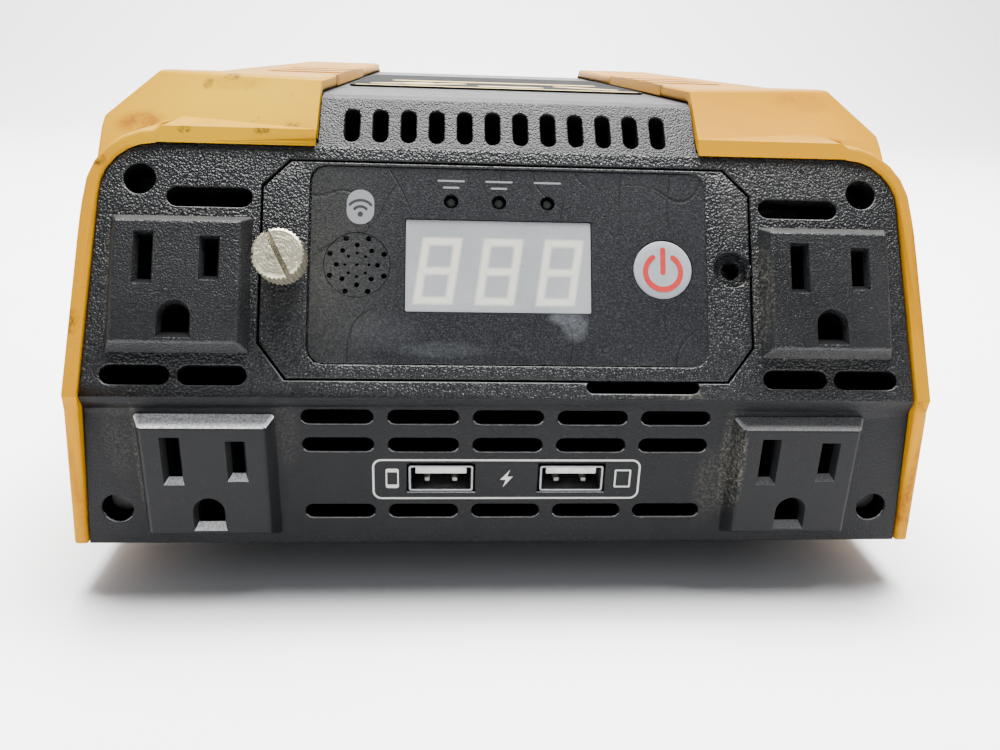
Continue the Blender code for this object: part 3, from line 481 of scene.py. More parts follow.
def black_plastic(name, grain=1.0, scale=2100.0, roughness=0.30, dust=0.5,
                  base=(0.0050, 0.0054, 0.0062), shine=0.36):
    """Moulded black plastic: leather grain with a painted highlight that lightens its pebble tops, dulled
    patches, speckles and dust in corners.
    """
    n = Nodes(name)
    wobble = n.add("TexNoise", Scale=scale * 0.5, Detail=2.0)
    n.link(n.space, wobble.inputs["Vector"])
    push = n.add("VectorMath", operation="SCALE", Scale=0.6 / scale)
    n.link(wobble.outputs["Color"], push.inputs[0])
    pebbles = n.cells(scale, source=n.vector("ADD", n.space, push.outputs["Vector"]))
    fine = n.noise(scale * 2.6, 2.0, 0.6)
    height = n.math("ADD", n.math("MULTIPLY", pebbles, -1.0), n.math("MULTIPLY", fine, 0.45))
    normal = n.bump(height, 360.0 / scale * grain)
    patches = n.noise(38.0, 5.0, 0.62)
    tone = n.ramp(patches, (0.35, 0.0), (0.72, 1.0))
    colour = n.mix(tone, base, tuple(c * 1.5 + 0.002 for c in base))
    # Painted highlight: the tops of the pebbles are made lighter, standing for light catching the grain.
    crest_highlight = n.ramp(pebbles, (0.0, 1.0), (0.35, 0.0))
    colour = n.mix(n.math("MULTIPLY", crest_highlight, 0.35 * min(1.0, grain)), colour,
                   tuple(c * 3.0 + 0.006 for c in base))
    specks = n.ramp(n.noise(2600.0, 2.0, 0.8), (0.60, 0.0), (0.74, 1.0))
    spread = n.ramp(n.noise(30.0, 6.0, 0.7), (0.38, 0.0), (0.75, 1.0))
    amount = n.math("MULTIPLY", specks, n.math("MULTIPLY", spread, dust * 0.6), clamp=True)
    amount = n.math("MAXIMUM", amount, n.spots(DUST_SPOTS, 1500.0))
    resting = n.ramp(n.upward(), (0.55, 0.0), (1.0, 1.0))
    film = n.ramp(n.noise(400.0, 6.0, 0.75), (0.35, 0.0), (0.8, 0.35))
    amount = n.math("MAXIMUM", amount, n.math("MULTIPLY", n.math("MULTIPLY", resting, film), dust))
    colour = n.mix(amount, colour, DUST)
    rough = n.math("ADD", n.math("MULTIPLY", tone, 0.08),
                   n.math("ADD", n.math("MULTIPLY", amount, 0.5), roughness), clamp=True)
    return n.set(Base_Color=colour, Roughness=rough, Normal=normal, Specular_IOR_Level=shine)


def wear_and_highlight_plastic(name, bright=0.30, spread=(0.35, 0.62)):
    """Black plastic whose edge is a grainy grey: partly scuffed wear, partly a painted highlight where
    the edge looks up towards the light.
    """
    n = Nodes(name)
    grain = n.noise(1900.0, 4.0, 0.85)
    wide = n.ramp(n.noise(120.0, 4.0, 0.7), (0.25, 0.75), (0.75, 1.0))
    rubbed = n.math("MULTIPLY", n.ramp(grain, (spread[0], 0.15), (spread[1], 1.0)), wide)
    colour = n.mix(rubbed, (bright * 0.30,) * 3, (bright, bright, bright * 1.01))
    return n.set(Base_Color=colour, Roughness=0.55, Normal=n.bump(grain, 0.05),
                 Specular_IOR_Level=0.4)


YELLOW_STAINS = []
# Centre of a painted pool of light: the front-left block's top is tinted paler and yellower for the
# brighter light that falls there.
YELLOW_LIGHT_POOL = (-62.0, FRONT + 34.0, 98.0)
YELLOW_RUST = []


def yellow_plastic(name):
    """Moulded amber plastic with fine grain, grime smears and dark nicks; faces that look up are darkened
    with painted shade, the flattest tops are darker in broken patches, and a painted pool of light makes
    the front-left top paler and yellower.
    """
    n = Nodes(name)
    shade = n.noise(22.0, 4.0, 0.6)
    colour = n.mix(n.ramp(shade, (0.3, 0.0), (0.75, 1.0)), (0.50, 0.215, 0.0), (0.57, 0.26, 0.0))
    # Painted shade: faces that look up are darkened to hold back the overhead light on them.
    slope = n.ramp(n.upward(), (0.30, 0.0), (0.60, 1.0))
    colour = n.mix(slope, colour, (0.37, 0.168, 0.0))
    # Painted light: the front-left top is tinted paler and yellower.
    colour = n.mix(n.ramp(n.spot(YELLOW_LIGHT_POOL, (42.0, 34.0, 16.0)), (0.0, 0.0), (0.7, 1.0)), colour,
                   (0.45, 0.262, 0.0))
    # The flattest tops are darker in broken patches.
    top = n.ramp(n.upward(), (0.86, 0.0), (0.99, 1.0))
    top_darkening = n.math("MULTIPLY", top, n.ramp(n.noise(90.0, 6.0, 0.7), (0.25, 0.3), (0.8, 1.0)))
    colour = n.mix(top_darkening, colour, (0.29, 0.135, 0.002))
    grime = n.ramp(n.noise(55.0, 8.0, 0.72, 0.6), (0.56, 0.0), (0.80, 1.0))
    colour = n.mix(n.math("MULTIPLY", grime, 0.30), colour, (0.30, 0.11, 0.012))
    rust = n.spots(YELLOW_RUST, 260.0, (0.30, 0.62))
    colour = n.mix(rust, colour, (0.20, 0.055, 0.004))
    nicks = n.ramp(n.noise(330.0, 3.0, 0.8, 1.2), (0.69, 0.0), (0.73, 1.0))
    dark = n.math("MAXIMUM", n.math("MULTIPLY", nicks, 0.75), n.spots(YELLOW_STAINS, 800.0, (0.40, 0.60)))
    colour = n.mix(dark, colour, (0.055, 0.028, 0.012))
    rough = n.math("ADD", 0.44, n.math("MULTIPLY", grime, 0.3))
    return n.set(Base_Color=colour, Roughness=rough, Normal=n.bump(n.noise(2400.0, 2.0, 0.6), 0.03),
                 Specular_IOR_Level=0.05)


def plain(name, base, roughness, metallic=0.0, scale=300.0, spread=0.25, depth=0.02):
    """A lightly uneven finish for small pieces."""
    n = Nodes(name)
    patches = n.noise(scale, 5.0, 0.65)
    dark = tuple(c * (1 - spread) for c in base)
    light = tuple(min(1.0, c * (1 + spread)) for c in base)
    colour = n.mix(n.ramp(patches, (0.3, 0.0), (0.7, 1.0)), dark, light)
    rough = n.math("ADD", roughness - 0.06, n.math("MULTIPLY", patches, 0.12), clamp=True)
    normal = n.bump(n.noise(scale * 6, 2.0), depth)
    return n.set(Base_Color=colour, Roughness=rough, Metallic=metallic, Normal=normal)


def overlay_film(name):
    """Satin film: fine sparkle, handling scratches, rubbed patches and dust at its edges."""
    n = Nodes(name)
    patches = n.noise(45.0, 6.0, 0.65)
    colour = n.mix(n.ramp(patches, (0.3, 0.0), (0.75, 1.0)), (0.0072, 0.0078, 0.0090),
                   (0.0115, 0.0122, 0.0136))
    speckle = n.ramp(n.noise(2500.0, 3.0, 0.85), (0.48, 0.0), (0.70, 1.0))
    colour = n.mix(n.math("MULTIPLY", speckle, 0.55), colour, (0.070, 0.074, 0.081))
    haze = n.ramp(n.spot(face_point(UPPER, -39.0, 24.0), (17.0, 30.0, 30.0)), (0.0, 0.0), (0.8, 0.45))
    haze = n.math("MULTIPLY", haze, n.ramp(n.noise(1400.0, 5.0, 0.8), (0.35, 0.0), (0.65, 1.0)))
    colour = n.mix(haze, colour, (0.07, 0.068, 0.055))
    colour = n.mix(n.spots(FILM_RUBS, 900.0, (0.30, 0.70)), colour, (0.15, 0.16, 0.175))
    lines = 0.0
    for scale, twist, seed in ((26.0, 26.0, 0.0), (17.0, 34.0, 7.0)):
        wave = n.add("TexWave", Scale=scale, Distortion=twist, Detail=2.0)
        wave.inputs["Detail Scale"].default_value = 0.7
        wave.inputs["Phase Offset"].default_value = seed
        n.link(n.space, wave.inputs["Vector"])
        line = n.ramp(wave.outputs["Fac"], (0.0, 1.0), (0.006, 0.0))
        gap = n.ramp(n.noise(40.0 + seed, 3.0), (0.48, 0.0), (0.60, 1.0))
        lines = n.math("MAXIMUM", n.math("MULTIPLY", line, gap), lines)
    colour = n.mix(n.math("MULTIPLY", lines, 0.6), colour, (0.003, 0.003, 0.0035))
    groove = n.math("MULTIPLY", lines, 0.35)
    height = n.math("SUBTRACT", n.math("MULTIPLY", n.noise(3200.0, 2.0, 0.6), 0.6), groove)
    rough = n.math("ADD", 0.33, n.math("MULTIPLY", patches, 0.18))
    return n.set(Base_Color=colour, Roughness=rough, Normal=n.bump(height, 0.20),
                 Specular_IOR_Level=0.16)


FILM_RUBS = []


def display_face(name):
    """Milky window with a frosty haze and a few motes."""
    n = Nodes(name)
    haze = n.ramp(n.noise(70.0, 5.0, 0.65), (0.3, 0.0), (0.7, 1.0))
    colour = n.mix(haze, (0.235, 0.250, 0.262), (0.300, 0.313, 0.318))
    frost = n.ramp(n.noise(2300.0, 3.0, 0.8), (0.42, 0.0), (0.75, 1.0))
    colour = n.mix(n.math("MULTIPLY", frost, 0.25), colour, (0.42, 0.43, 0.43))
    motes = n.ramp(n.noise(700.0, 2.0, 0.7), (0.745, 0.0), (0.77, 1.0))
    colour = n.mix(n.math("MULTIPLY", motes, 0.5), colour, (0.14, 0.13, 0.12))
    return n.set(Base_Color=colour, Roughness=0.34, Normal=n.bump(n.noise(2500.0), 0.01),
                 Coat_Weight=0.2, Coat_Roughness=0.25)


def segment_glow(name, shade, strength):
    """Diffuser light pipe seen through the milky window."""
    n = Nodes(name)
    haze = n.ramp(n.noise(240.0, 4.0, 0.7), (0.3, 0.0), (0.75, 1.0))
    frost = n.ramp(n.noise(2300.0, 3.0, 0.8), (0.42, 0.0), (0.75, 1.0))
    under = (0.285, 0.298, 0.304)
    colour = tuple(a + (b - a) * strength for a, b in zip(under, shade))
    colour = n.mix(haze, tuple(c * 0.93 for c in colour), colour)
    colour = n.mix(n.math("MULTIPLY", frost, 0.2), colour, (0.66, 0.66, 0.62))
    return n.set(Base_Color=colour, Roughness=0.36, Normal=n.bump(n.noise(2500.0), 0.01))


def printed_ink(name, tint=(0.36, 0.36, 0.35)):
    """Screen print with small breaks."""
    n = Nodes(name)
    gaps = n.ramp(n.noise(1700.0, 4.0, 0.8), (0.60, 0.0), (0.70, 1.0))
    colour = n.mix(n.math("MULTIPLY", gaps, 0.6), tint, (0.03, 0.03, 0.03))
    return n.set(Base_Color=colour, Roughness=0.55, Normal=n.bump(gaps, 0.02))


def knurled_nickel(name):
    """Dulled nickel with turning rings, fine scratches and brown grime in the hollows."""
    n = Nodes(name)
    centre = Vector(face_point(UPPER, *THUMBSCREW_AT, 7.4))
    offset = n.vector("SUBTRACT", n.space, centre * MM)
    away = n.vector("LENGTH", offset, offset)
    wobble = n.math("MULTIPLY", n.noise(300.0, 3.0), 0.0007)
    rings = n.math("SINE", n.math("MULTIPLY", n.math("ADD", away, wobble), 9500.0))
    streak = n.noise(900.0, 4.0, 0.75, 1.0)
    blotch = n.noise(420.0, 5.0, 0.7)
    colour = n.mix(n.ramp(blotch, (0.35, 0.0), (0.75, 1.0)), (0.50, 0.47, 0.36), (0.35, 0.32, 0.235))
    grime = n.ramp(n.noise(260.0, 5.0, 0.75), (0.55, 0.0), (0.74, 1.0))
    colour = n.mix(n.math("MULTIPLY", grime, 0.55), colour, (0.12, 0.10, 0.07))
    height = n.math("ADD", n.math("MULTIPLY", rings, 0.06), streak)
    rough = n.math("ADD", 0.38, n.math("MULTIPLY", blotch, 0.22))
    return n.set(Base_Color=colour, Roughness=rough, Metallic=1.0, Normal=n.bump(height, 0.16))


LOOKS = {}


def look(name, maker, *values, **options):
    if name not in LOOKS:
        LOOKS[name] = maker(name, *values, **options)
    return LOOKS[name]


DUST_SPOTS += [
    (face_point(LOWER, 48.3, -18.0, 1.5), (1.7, 4.0, 13.0), 1.0),
    (face_point(LOWER, 46.4, -19.0), (2.0, 3.0, 14.0), 0.8),
    (face_point(LOWER, 43.5, -24.0), (4.0, 3.0, 10.0), 0.4),
    (face_point(LOWER, 60.5, -28.8, 2.4), (3.0, 3.0, 1.2), 0.8),
    (face_point(UPPER, 51.9, 17.0), (2.2, 9.0, 15.0), 0.55),
    (face_point(UPPER, 64.0, 3.9, 1.0), (15.0, 4.0, 1.8), 0.3),
    (face_point(UPPER, 35.5, -3.2), (4.5, 2.0, 1.2), 1.0),
    (face_point(UPPER, 27.0, -2.4), (3.4, 2.0, 1.6), 0.7),
    (face_point(LOWER, -74.6, -17.0), (0.9, 3.0, 15.0), 0.8),
    (face_point(LOWER, -78.0, -14.0), (4.0, 3.0, 10.0), 0.25),
    (face_point(UPPER, -79.4, 18.0), (0.9, 9.0, 15.0), 0.45),
    (face_point(UPPER, -65.5, 32.0, 1.5), (16.0, 3.0, 1.4), 0.35),
    (face_point(LOWER, -45.0, -12.0), (3.0, 3.0, 10.0), 0.25),
    (face_point(UPPER, 48.4, 20.9), (2.4, 2.4, 2.4), 0.45),
    (face_point(UPPER, 62.0, 42.0), (22.0, 6.0, 6.0), 0.22),
    (face_point(UPPER, 47.0, 36.0), (4.0, 6.0, 9.0), 0.3),
]
YELLOW_STAINS += [
    ((-66.1, FRONT + 44.9, 100.3), (1.6, 2.0, 3.0), 0.7),
    ((-60.3, FRONT + 43.9, 101.9), (3.0, 3.0, 1.0), 0.8),
    ((-65.8, FRONT + 22.4, 92.4), (1.6, 1.6, 1.0), 0.9),
    ((-50.4, FRONT + 22.5, 92.6), (2.0, 1.8, 1.1), 1.0),
    ((-44.8, FRONT + 26.2, 93.4), (2.2, 1.6, 0.8), 0.8),
    ((-82.0, FRONT + 20.0, 86.3), (1.8, 3.0, 1.5), 0.9),
    ((-87.5, FRONT + 5.0, 57.0), (4.0, 4.0, 4.0), 0.9),
    ((-40.0, FRONT + 61.0, 101.6), (2.5, 5.0, 2.5), 1.0),
    ((42.0, FRONT + 60.0, 102.0), (4.0, 5.0, 2.0), 0.9),
    ((68.0, FRONT + 43.0, 101.5), (6.0, 4.0, 2.0), 0.55),
    ((89.5, FRONT + 2.0, 33.0), (3.0, 4.0, 4.0), 0.8),
    ((89.5, FRONT + 2.0, 15.0), (3.0, 4.0, 2.5), 0.8),
]
YELLOW_RUST += [
    ((90.0, FRONT + 2.0, 22.0), (4.0, 7.0, 16.0), 0.6),
    ((-87.2, FRONT + 1.0, 26.0), (1.5, 4.0, 24.0), 0.5),
    ((87.2, FRONT + 1.0, 26.0), (1.5, 4.0, 24.0), 0.9),
    ((86.4, FRONT + 12.0, 70.0), (2.2, 16.0, 26.0), 0.6),
    ((-81.0, FRONT + 43.1, 91.8), (9.0, 6.0, 3.0), 0.8),
    ((-58.0, FRONT + 42.0, 100.5), (20.0, 5.0, 1.8), 0.35),
    ((72.0, FRONT + 46.0, 100.0), (20.0, 8.0, 3.0), 0.30),
]
FILM_RUBS += [
    (face_point(UPPER, 13.2, 10.6), (3.2, 3.0, 4.0), 0.6),
    (face_point(UPPER, 11.2, 12.2), (4.0, 2.0, 2.0), 0.6),
    (face_point(UPPER, -14.0, 5.4), (11.0, 3.0, 1.8), 0.18),
    (face_point(UPPER, -26.0, 9.0), (9.0, 3.0, 5.0), 0.10),
]

LEATHER = look("leather_black", black_plastic, 1.15, 2050.0, 0.28, shine=0.31)
FINE_BLACK = look("fine_black", black_plastic, 0.60, 2600.0, 0.36, dust=0.6,
                  base=(0.0062, 0.0066, 0.0076), shine=0.10)
OUTLET_BLACK = look("outlet_black", black_plastic, 0.30, 2600.0, 0.46, dust=0.55,
                    base=(0.0060, 0.0064, 0.0072), shine=0.13)
GRAINY_BLACK = look("grainy_black", black_plastic, 0.85, 2500.0, 0.32, dust=0.8,
                    base=(0.0060, 0.0064, 0.0072), shine=0.32)
SMOOTH_BLACK = look("smooth_black", black_plastic, 0.10, 2200.0, 0.42, dust=0.25, shine=0.2)
# Painted shade: near-black for deep recesses and the insides of the outlets and their slots.
RECESS_SHADE_BLACK = look("deep_black", black_plastic, 0.30, 2200.0, 0.60, dust=0.0,
                  base=(0.0016, 0.0017, 0.0020), shine=0.04)
VENT_BLACK = look("vent_black", black_plastic, 0.95, 2400.0, 0.36, dust=0.35, shine=0.17)
ROOF_BLACK = look("roof_black", black_plastic, 0.30, 2600.0, 0.45, dust=0.15,
                  base=(0.010, 0.010, 0.010), shine=0.3)
YELLOW = look("amber_plastic", yellow_plastic)
NICKEL = look("worn_nickel", plain, (0.66, 0.64, 0.58), 0.34, 1.0, 500.0, 0.12, 0.02)
# Grainy grey for edges and slot floors that look up: partly scuffed wear, partly painted highlight; the
# brightest one stands for the light on the lower-left outlet.
WEAR_AND_HIGHLIGHT = look("rubbed_bright", wear_and_highlight_plastic, 0.98, (0.40, 0.56))
WEAR_AND_HIGHLIGHT_DULL = look("rubbed_dull", wear_and_highlight_plastic, 0.22)
WEAR_AND_HIGHLIGHT_EDGE = look("rubbed_edge", wear_and_highlight_plastic, 0.42)
WEAR_AND_HIGHLIGHT_FAINT = look("rubbed_faint", wear_and_highlight_plastic, 0.07)


# ---------------------------------------------------------------- pieces

def piece(name, mesh, place, body, finish):
    """A visible piece that rides on a body; its mesh is put in world coordinates at rest."""
    mesh.transform(place)
    item = bpy.data.objects.new(name, mesh)
    bpy.context.scene.collection.objects.link(item)
    mesh.materials.clear()
    mesh.materials.append(finish)
    mesh.shade_smooth()
    mesh.set_sharp_from_angle(angle=math.radians(35))
    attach(item, body)
    return item


def straighten(mesh):
    """Lets a bumper's front edge run straight down from the fold."""
    for vert in mesh.vertices:
        point = vert.co / MM
        if abs(point.y - FRONT + LIP_SET) < 0.1 and point.z > FOLD_HEIGHT - 10.0:
            vert.co.y = (FRONT - NOSE_SET) * MM


def narrow_top(mesh):
    """Draws a rear bumper's upper outer corner in towards the lid."""
    for vert in mesh.vertices:
        if vert.co.z / MM > BLOCK_TOP and abs(vert.co.x) / MM > REAR_TOP_X:
            vert.co.x = math.copysign(REAR_TOP_X, vert.co.x) * MM


def refined(node, body, finish, width, segments=2):
    """A CAD node's own shape with rounded edges, standing for that node."""
    mesh = clean(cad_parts[node].data.copy())
    if node.startswith("front_bumper"):
        straighten(mesh)
    if node.startswith("rear_bumper"):
        narrow_top(mesh)
    mesh = bevel_edges(mesh, lambda edge: width if turned(edge) and roomy(edge) else 0.0, segments)
    item = piece(node + "_finished", mesh, Matrix.Identity(4), body, finish)
    item.modifiers.new("shading", "WEIGHTED_NORMAL").keep_sharp = True
    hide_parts(node)
    return item


def by_face(item, finishes, choose):
    """Gives each face one of several materials; choose(centre in mm, normal) returns its index."""
    for finish in finishes:
        item.data.materials.append(finish)
    for polygon in item.data.polygons:
        polygon.material_index = choose(polygon.center / MM, polygon.normal)


def facing(tilt):
    """Outward normal and up direction of a face that leans back by tilt."""
    lean = math.radians(tilt)
    return (Vector((0, -math.cos(lean), math.sin(lean))), Vector((0, math.sin(lean), math.cos(lean))))


LOWER_OUT, LOWER_UP = facing(0.0)
UPPER_OUT, UPPER_UP = facing(TILT)
VENT_OUT, VENT_UP = facing(VENT_TILT)


def upward_wear_and_highlight_edge(normal, out, up):
    """True on a rounded edge that looks up and outwards."""
    return 0.25 < normal.dot(out) < 0.97 and normal.dot(up) > 0.42


LOWER_PLANE = (Vector((0, FRONT, 0)), LOWER_OUT)
UPPER_PLANE = (Vector((0, FRONT, FOLD_HEIGHT)), UPPER_OUT)
VENT_PLANE = (Vector((0, FRONT + VENT_EDGE[0], FOLD_HEIGHT + VENT_EDGE[1])), VENT_OUT)
ROOF_PLANE = (Vector((0, 0, CAP_HIGH.z / MM)), Vector((0, 0, 1)))


def make_front_cap():
    """Front cap with rounded openings; the upward edges under its slots are painted light grey, partly
    scuffed wear, partly painted highlight, and its deep recesses get painted shade.
    """
    planes = (LOWER_PLANE, UPPER_PLANE, VENT_PLANE, ROOF_PLANE)

    def size_of(edge):
        if all(vert.co.y / MM < FRONT - 1.9 for vert in edge.verts):
            run = (edge.verts[1].co - edge.verts[0].co).normalized()
            return NOSE_ROUND if abs(run.x) > 0.9 else 0.0
        if edge.is_convex and turned(edge) and any(in_plane(edge, plane) for plane in planes):
            return CAP_EDGE
        return 0.0
    mesh = round_rims(clean(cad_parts["front_cap"].data.copy()), size_of, planes, 3)
    cap = piece("front_cap_finished", mesh, Matrix.Identity(4), "chassis", LEATHER)
    cap.modifiers.new("shading", "WEIGHTED_NORMAL").keep_sharp = True
    mesh.set_sharp_from_angle(angle=math.radians(50))
    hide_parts("front_cap")

    def region(centre, normal):
        z = centre.z - FOLD_HEIGHT
        if z < NOSE_Z:
            plane, up = LOWER_PLANE, LOWER_UP
        elif z < VENT_EDGE[1] + 0.2:
            plane, up = UPPER_PLANE, UPPER_UP
        else:
            plane, up = VENT_PLANE, VENT_UP
        depth = (plane[0] - centre).dot(plane[1])
        if plane is VENT_PLANE and centre.z > ROOF_PLANE[0].z - 1.0 and normal.z > 0.9:
            return 2
        # Faces deep behind the surface get painted shade.
        if depth > 1.2:
            return 5
        # Rounded edges that look up and out get the painted highlight, partly scuffed wear.
        rubbed = upward_wear_and_highlight_edge(normal, plane[1], up) and depth > 0.02
        if plane is LOWER_PLANE:
            return 3 if rubbed else 1
        if plane is VENT_PLANE:
            return 6
        return 4 if rubbed else 0
    by_face(cap, [FINE_BLACK, ROOF_BLACK, WEAR_AND_HIGHLIGHT_EDGE, WEAR_AND_HIGHLIGHT_FAINT, RECESS_SHADE_BLACK, VENT_BLACK], region)


def make_skins():
    for word in ("left", "right"):
        for kind, width in (("front_bumper", 0.8), ("side_rail", 0.35), ("rear_bumper", 0.9)):
            refined(f"{kind}_{word}", "chassis", YELLOW, width, 3)
    refined("rear_cap", "chassis", LEATHER, 0.5, 2)
    # A dark sheet behind the rear openings, standing in for the shade inside the housing.
    screen = Matrix.Translation(Vector((0, FRONT + LENGTH - 6.0, 74.0)) * MM)
    piece("rear_shade_screen", extruded(rounded(54.0, 34.0, 2.0), -0.2, 0.2), turn(screen, 90, "X"),
          "chassis", SMOOTH_BLACK)


def slot_tools(place, x, y, width, height, low, high):
    """A blade slot: a straight opening with a flared lead-in that is deeper below."""
    straight = tapered((width, height), (width, height), low, high)
    inner = [(sx * width / 2, sy * height / 2) for sx, sy in ((-1, -1), (1, -1), (1, 1), (-1, 1))]
    flare = 1.5
    mouth = [(px + math.copysign(0.75, px) * flare, py + (0.35 if py > 0 else -1.15) * flare)
             for px, py in inner]
    lead = lofted(inner, mouth, OUTLET_PROUD - 1.6, OUTLET_PROUD - 1.6 + 1.6 * flare)
    return [("DIFFERENCE", straight, at(place, x, y)), ("DIFFERENCE", lead, at(place, x, y))]


def ground_outline(width, top, bottom):
    """A hole with a round head and a flat foot."""
    return arc(0, top - width / 2, width / 2, 0, 180, 16) + [(-width / 2, bottom), (width / 2, bottom)]


def bevelled(mesh, width, segments):
    """A mesh with all its edges rounded."""
    holder = bpy.data.objects.new("bevelled", mesh)
    bpy.context.scene.collection.objects.link(holder)
    bevel = holder.modifiers.new("edges", "BEVEL")
    bevel.width = width * MM
    bevel.segments = segments
    bevel.limit_method = "ANGLE"
    result = applied(holder).data
    bpy.data.objects.remove(holder)
    return result


def make_outlet(name, place, x, line, body_finish, rim, foot):
    """Three-pole outlet: a raised block with sloped sides, blade slots and a ground hole."""
    centre = at(place, x, line - OUTLET_DROP)
    half = SLOT_PITCH / 2
    ground = OUTLET_DROP - GROUND_DROP
    shape = bevelled(tapered((OUTLET_BASE + 0.6, OUTLET_BASE + 0.6), (OUTLET_FACE, OUTLET_FACE),
                             -0.3, OUTLET_PROUD), 0.6, 3)
    tools = [("UNION", tapered((24.0, 24.0), (24.0, 24.0), -14.0, 1.0), centre)]
    for dx, tall in ((-half, 9.0), (half, 7.4)):
        tools += slot_tools(centre, dx, OUTLET_DROP, 2.5, tall, -11.0, 9.0)
    lead = lofted(ground_outline(5.2, 2.6, -3.0), ground_outline(7.2, 3.5, -5.0),
                  OUTLET_PROUD - 1.6, OUTLET_PROUD + 0.8)
    tools.append(("DIFFERENCE", extruded(ground_outline(5.2, 2.6, -3.0), -11, 9),
                  at(centre, 0, ground)))
    tools.append(("DIFFERENCE", lead, at(centre, 0, ground)))
    mesh = combined(shape, centre, tools)
    item = piece(name + "_finished", clean(mesh), centre, "chassis", body_finish)
    soften(item, 0.16, 2, 33)
    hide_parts(name)
    out = centre.to_3x3() @ Vector((0, 0, 1))
    up = centre.to_3x3() @ Vector((0, 1, 0))
    inverse = centre.inverted()

    # The top bevel (rim) and slot floors (foot) that look up take their own finishes: painted highlight
    # with scuffed wear on the lower outlets, painted shade in the upper outlets' slots; the inside takes
    # painted shade.
    def region(point, normal):
        local = inverse @ (point * MM) / MM
        if local.z > 0.4 and 0.3 < normal.dot(out) < 0.96 and normal.dot(up) > 0.2:
            return 1 if local.y > 11 else 2
        return 3 if local.z < 1.0 and max(abs(local.x), abs(local.y)) < 12.5 else 0
    by_face(item, [rim, foot, RECESS_SHADE_BLACK], region)


def make_usb_port(name, x):
    """Pressed metal shell round a tongue, with its two springs."""
    place = at(LOWER, x, USB_Z)
    width, height = USB_SIZE
    tube = extruded(rounded(width, height, 0.5, 3), -13.0, 0.15,
                    [rounded(width - 0.9, height - 0.9, 0.3, 3)])
    shell = piece(name + "_shell", tube, place, "chassis",
                  look("port_metal", plain, (0.16, 0.16, 0.165), 0.42, 1.0, 700.0))
    soften(shell, 0.10, 2)
    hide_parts(name)
    inner = (width - 1.1, height - 1.1)
    back = piece(name + "_back", tapered(inner, inner, -12.8, -9.5), place, "chassis",
                 SMOOTH_BLACK)
    soften(back, 0.1)
    tongue = piece(name + "_tongue", tapered((10.8, 1.8), (10.7, 1.6), -10.0, -0.9),
                   at(place, 0, 1.35), "chassis",
                   look("tongue_white", plain, (0.50, 0.50, 0.46), 0.5, 0.0, 500.0, 0.22))
    soften(tongue, 0.18, 2)
    for side in (-1, 1):
        spring = piece(f"{name}_spring_{'left' if side < 0 else 'right'}",
                       tapered((1.3, 1.2), (1.1, 0.9), -4.6, -2.0), at(place, side * 2.9, -1.4),
                       "chassis", look("port_spring", plain, (0.30, 0.29, 0.27), 0.5, 1.0, 700.0))
        soften(spring, 0.12, 2)


def make_remote():
    """Remote panel with its film, grille, display, key and marks."""
    mesh = clean(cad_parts["remote_housing"].data.copy())
    mesh = round_rims(mesh, lambda edge: PANEL_EDGE if turned(edge) and in_plane(edge, UPPER_PLANE)
                      else 0.0, [UPPER_PLANE])
    housing = piece("remote_housing_finished", mesh, Matrix.Identity(4), "remote_panel", LEATHER)
    housing.modifiers.new("shading", "WEIGHTED_NORMAL").keep_sharp = True
    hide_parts("remote_housing")
    middle = sum(OVERLAY_S) / 2
    shift = 0.45
    x, s, width, height = DISPLAY
    holes = [rounded(width + 0.2, height + 0.2, 0.3, 2, x, s - middle),
             circle(BUTTON_RADIUS + 0.12, 48, BUTTON_AT[0], BUTTON_AT[1] - middle),
             circle(6.72, 48, SPEAKER_AT[0], SPEAKER_AT[1] - middle)]
    holes += [circle(1.5, 24, led_x, LED_S - middle) for led_x in LED_XS]
    sheet = extruded(rounded(OVERLAY_HALF_WIDTH * 2 - 0.5, OVERLAY_S[1] - OVERLAY_S[0] - 0.5,
                             3.0, 8, shift), -0.75, -0.22, holes)
    film = look("overlay_film", overlay_film)
    overlay = piece("overlay_finished", sheet, at(UPPER, 0, middle), "remote_panel", film)
    soften(overlay, 0.09, 2)
    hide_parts("remote_overlay")

    # Outer edges of the overlay that turn away from the face get a painted highlight with scuffed wear.
    def rim(point, normal):
        local = UPPER.inverted() @ (point * MM) / MM
        outer = (local.x > 38.0 + shift or local.y < OVERLAY_S[0] + 3.0
                 or local.x < -38.0 or local.y > OVERLAY_S[1] - 3.0)
        return 1 if outer and normal.dot(UPPER_OUT) < 0.97 else 0
    by_face(overlay, [look("film_rim", wear_and_highlight_plastic, 0.34, (0.40, 0.60))], rim)
    make_speaker()
    make_display()
    make_button()
    make_marks()
    make_thumbscrew()


def make_speaker():
    """Perforated disc in the overlay."""
    holes = [circle(0.33, 10)]
    for radius, size, start in ((2.4, 0.33, 0.0), (4.1, 0.52, 0.0), (5.85, 0.58, 22.5)):
        for index in range(8):
            angle = math.radians(start + 45 * index)
            holes.append(circle(size, 14, radius * math.cos(angle), radius * math.sin(angle)))
    disc = piece("speaker_grille", extruded(circle(6.6, 64), -0.8, -0.28, holes),
                 at(UPPER, *SPEAKER_AT), "remote_panel", look("overlay_film", overlay_film))
    soften(disc, 0.08, 2)


def sheared(outline, x, y, slant):
    return [(px + x + (py + y) * slant, py + y) for px, py in outline]


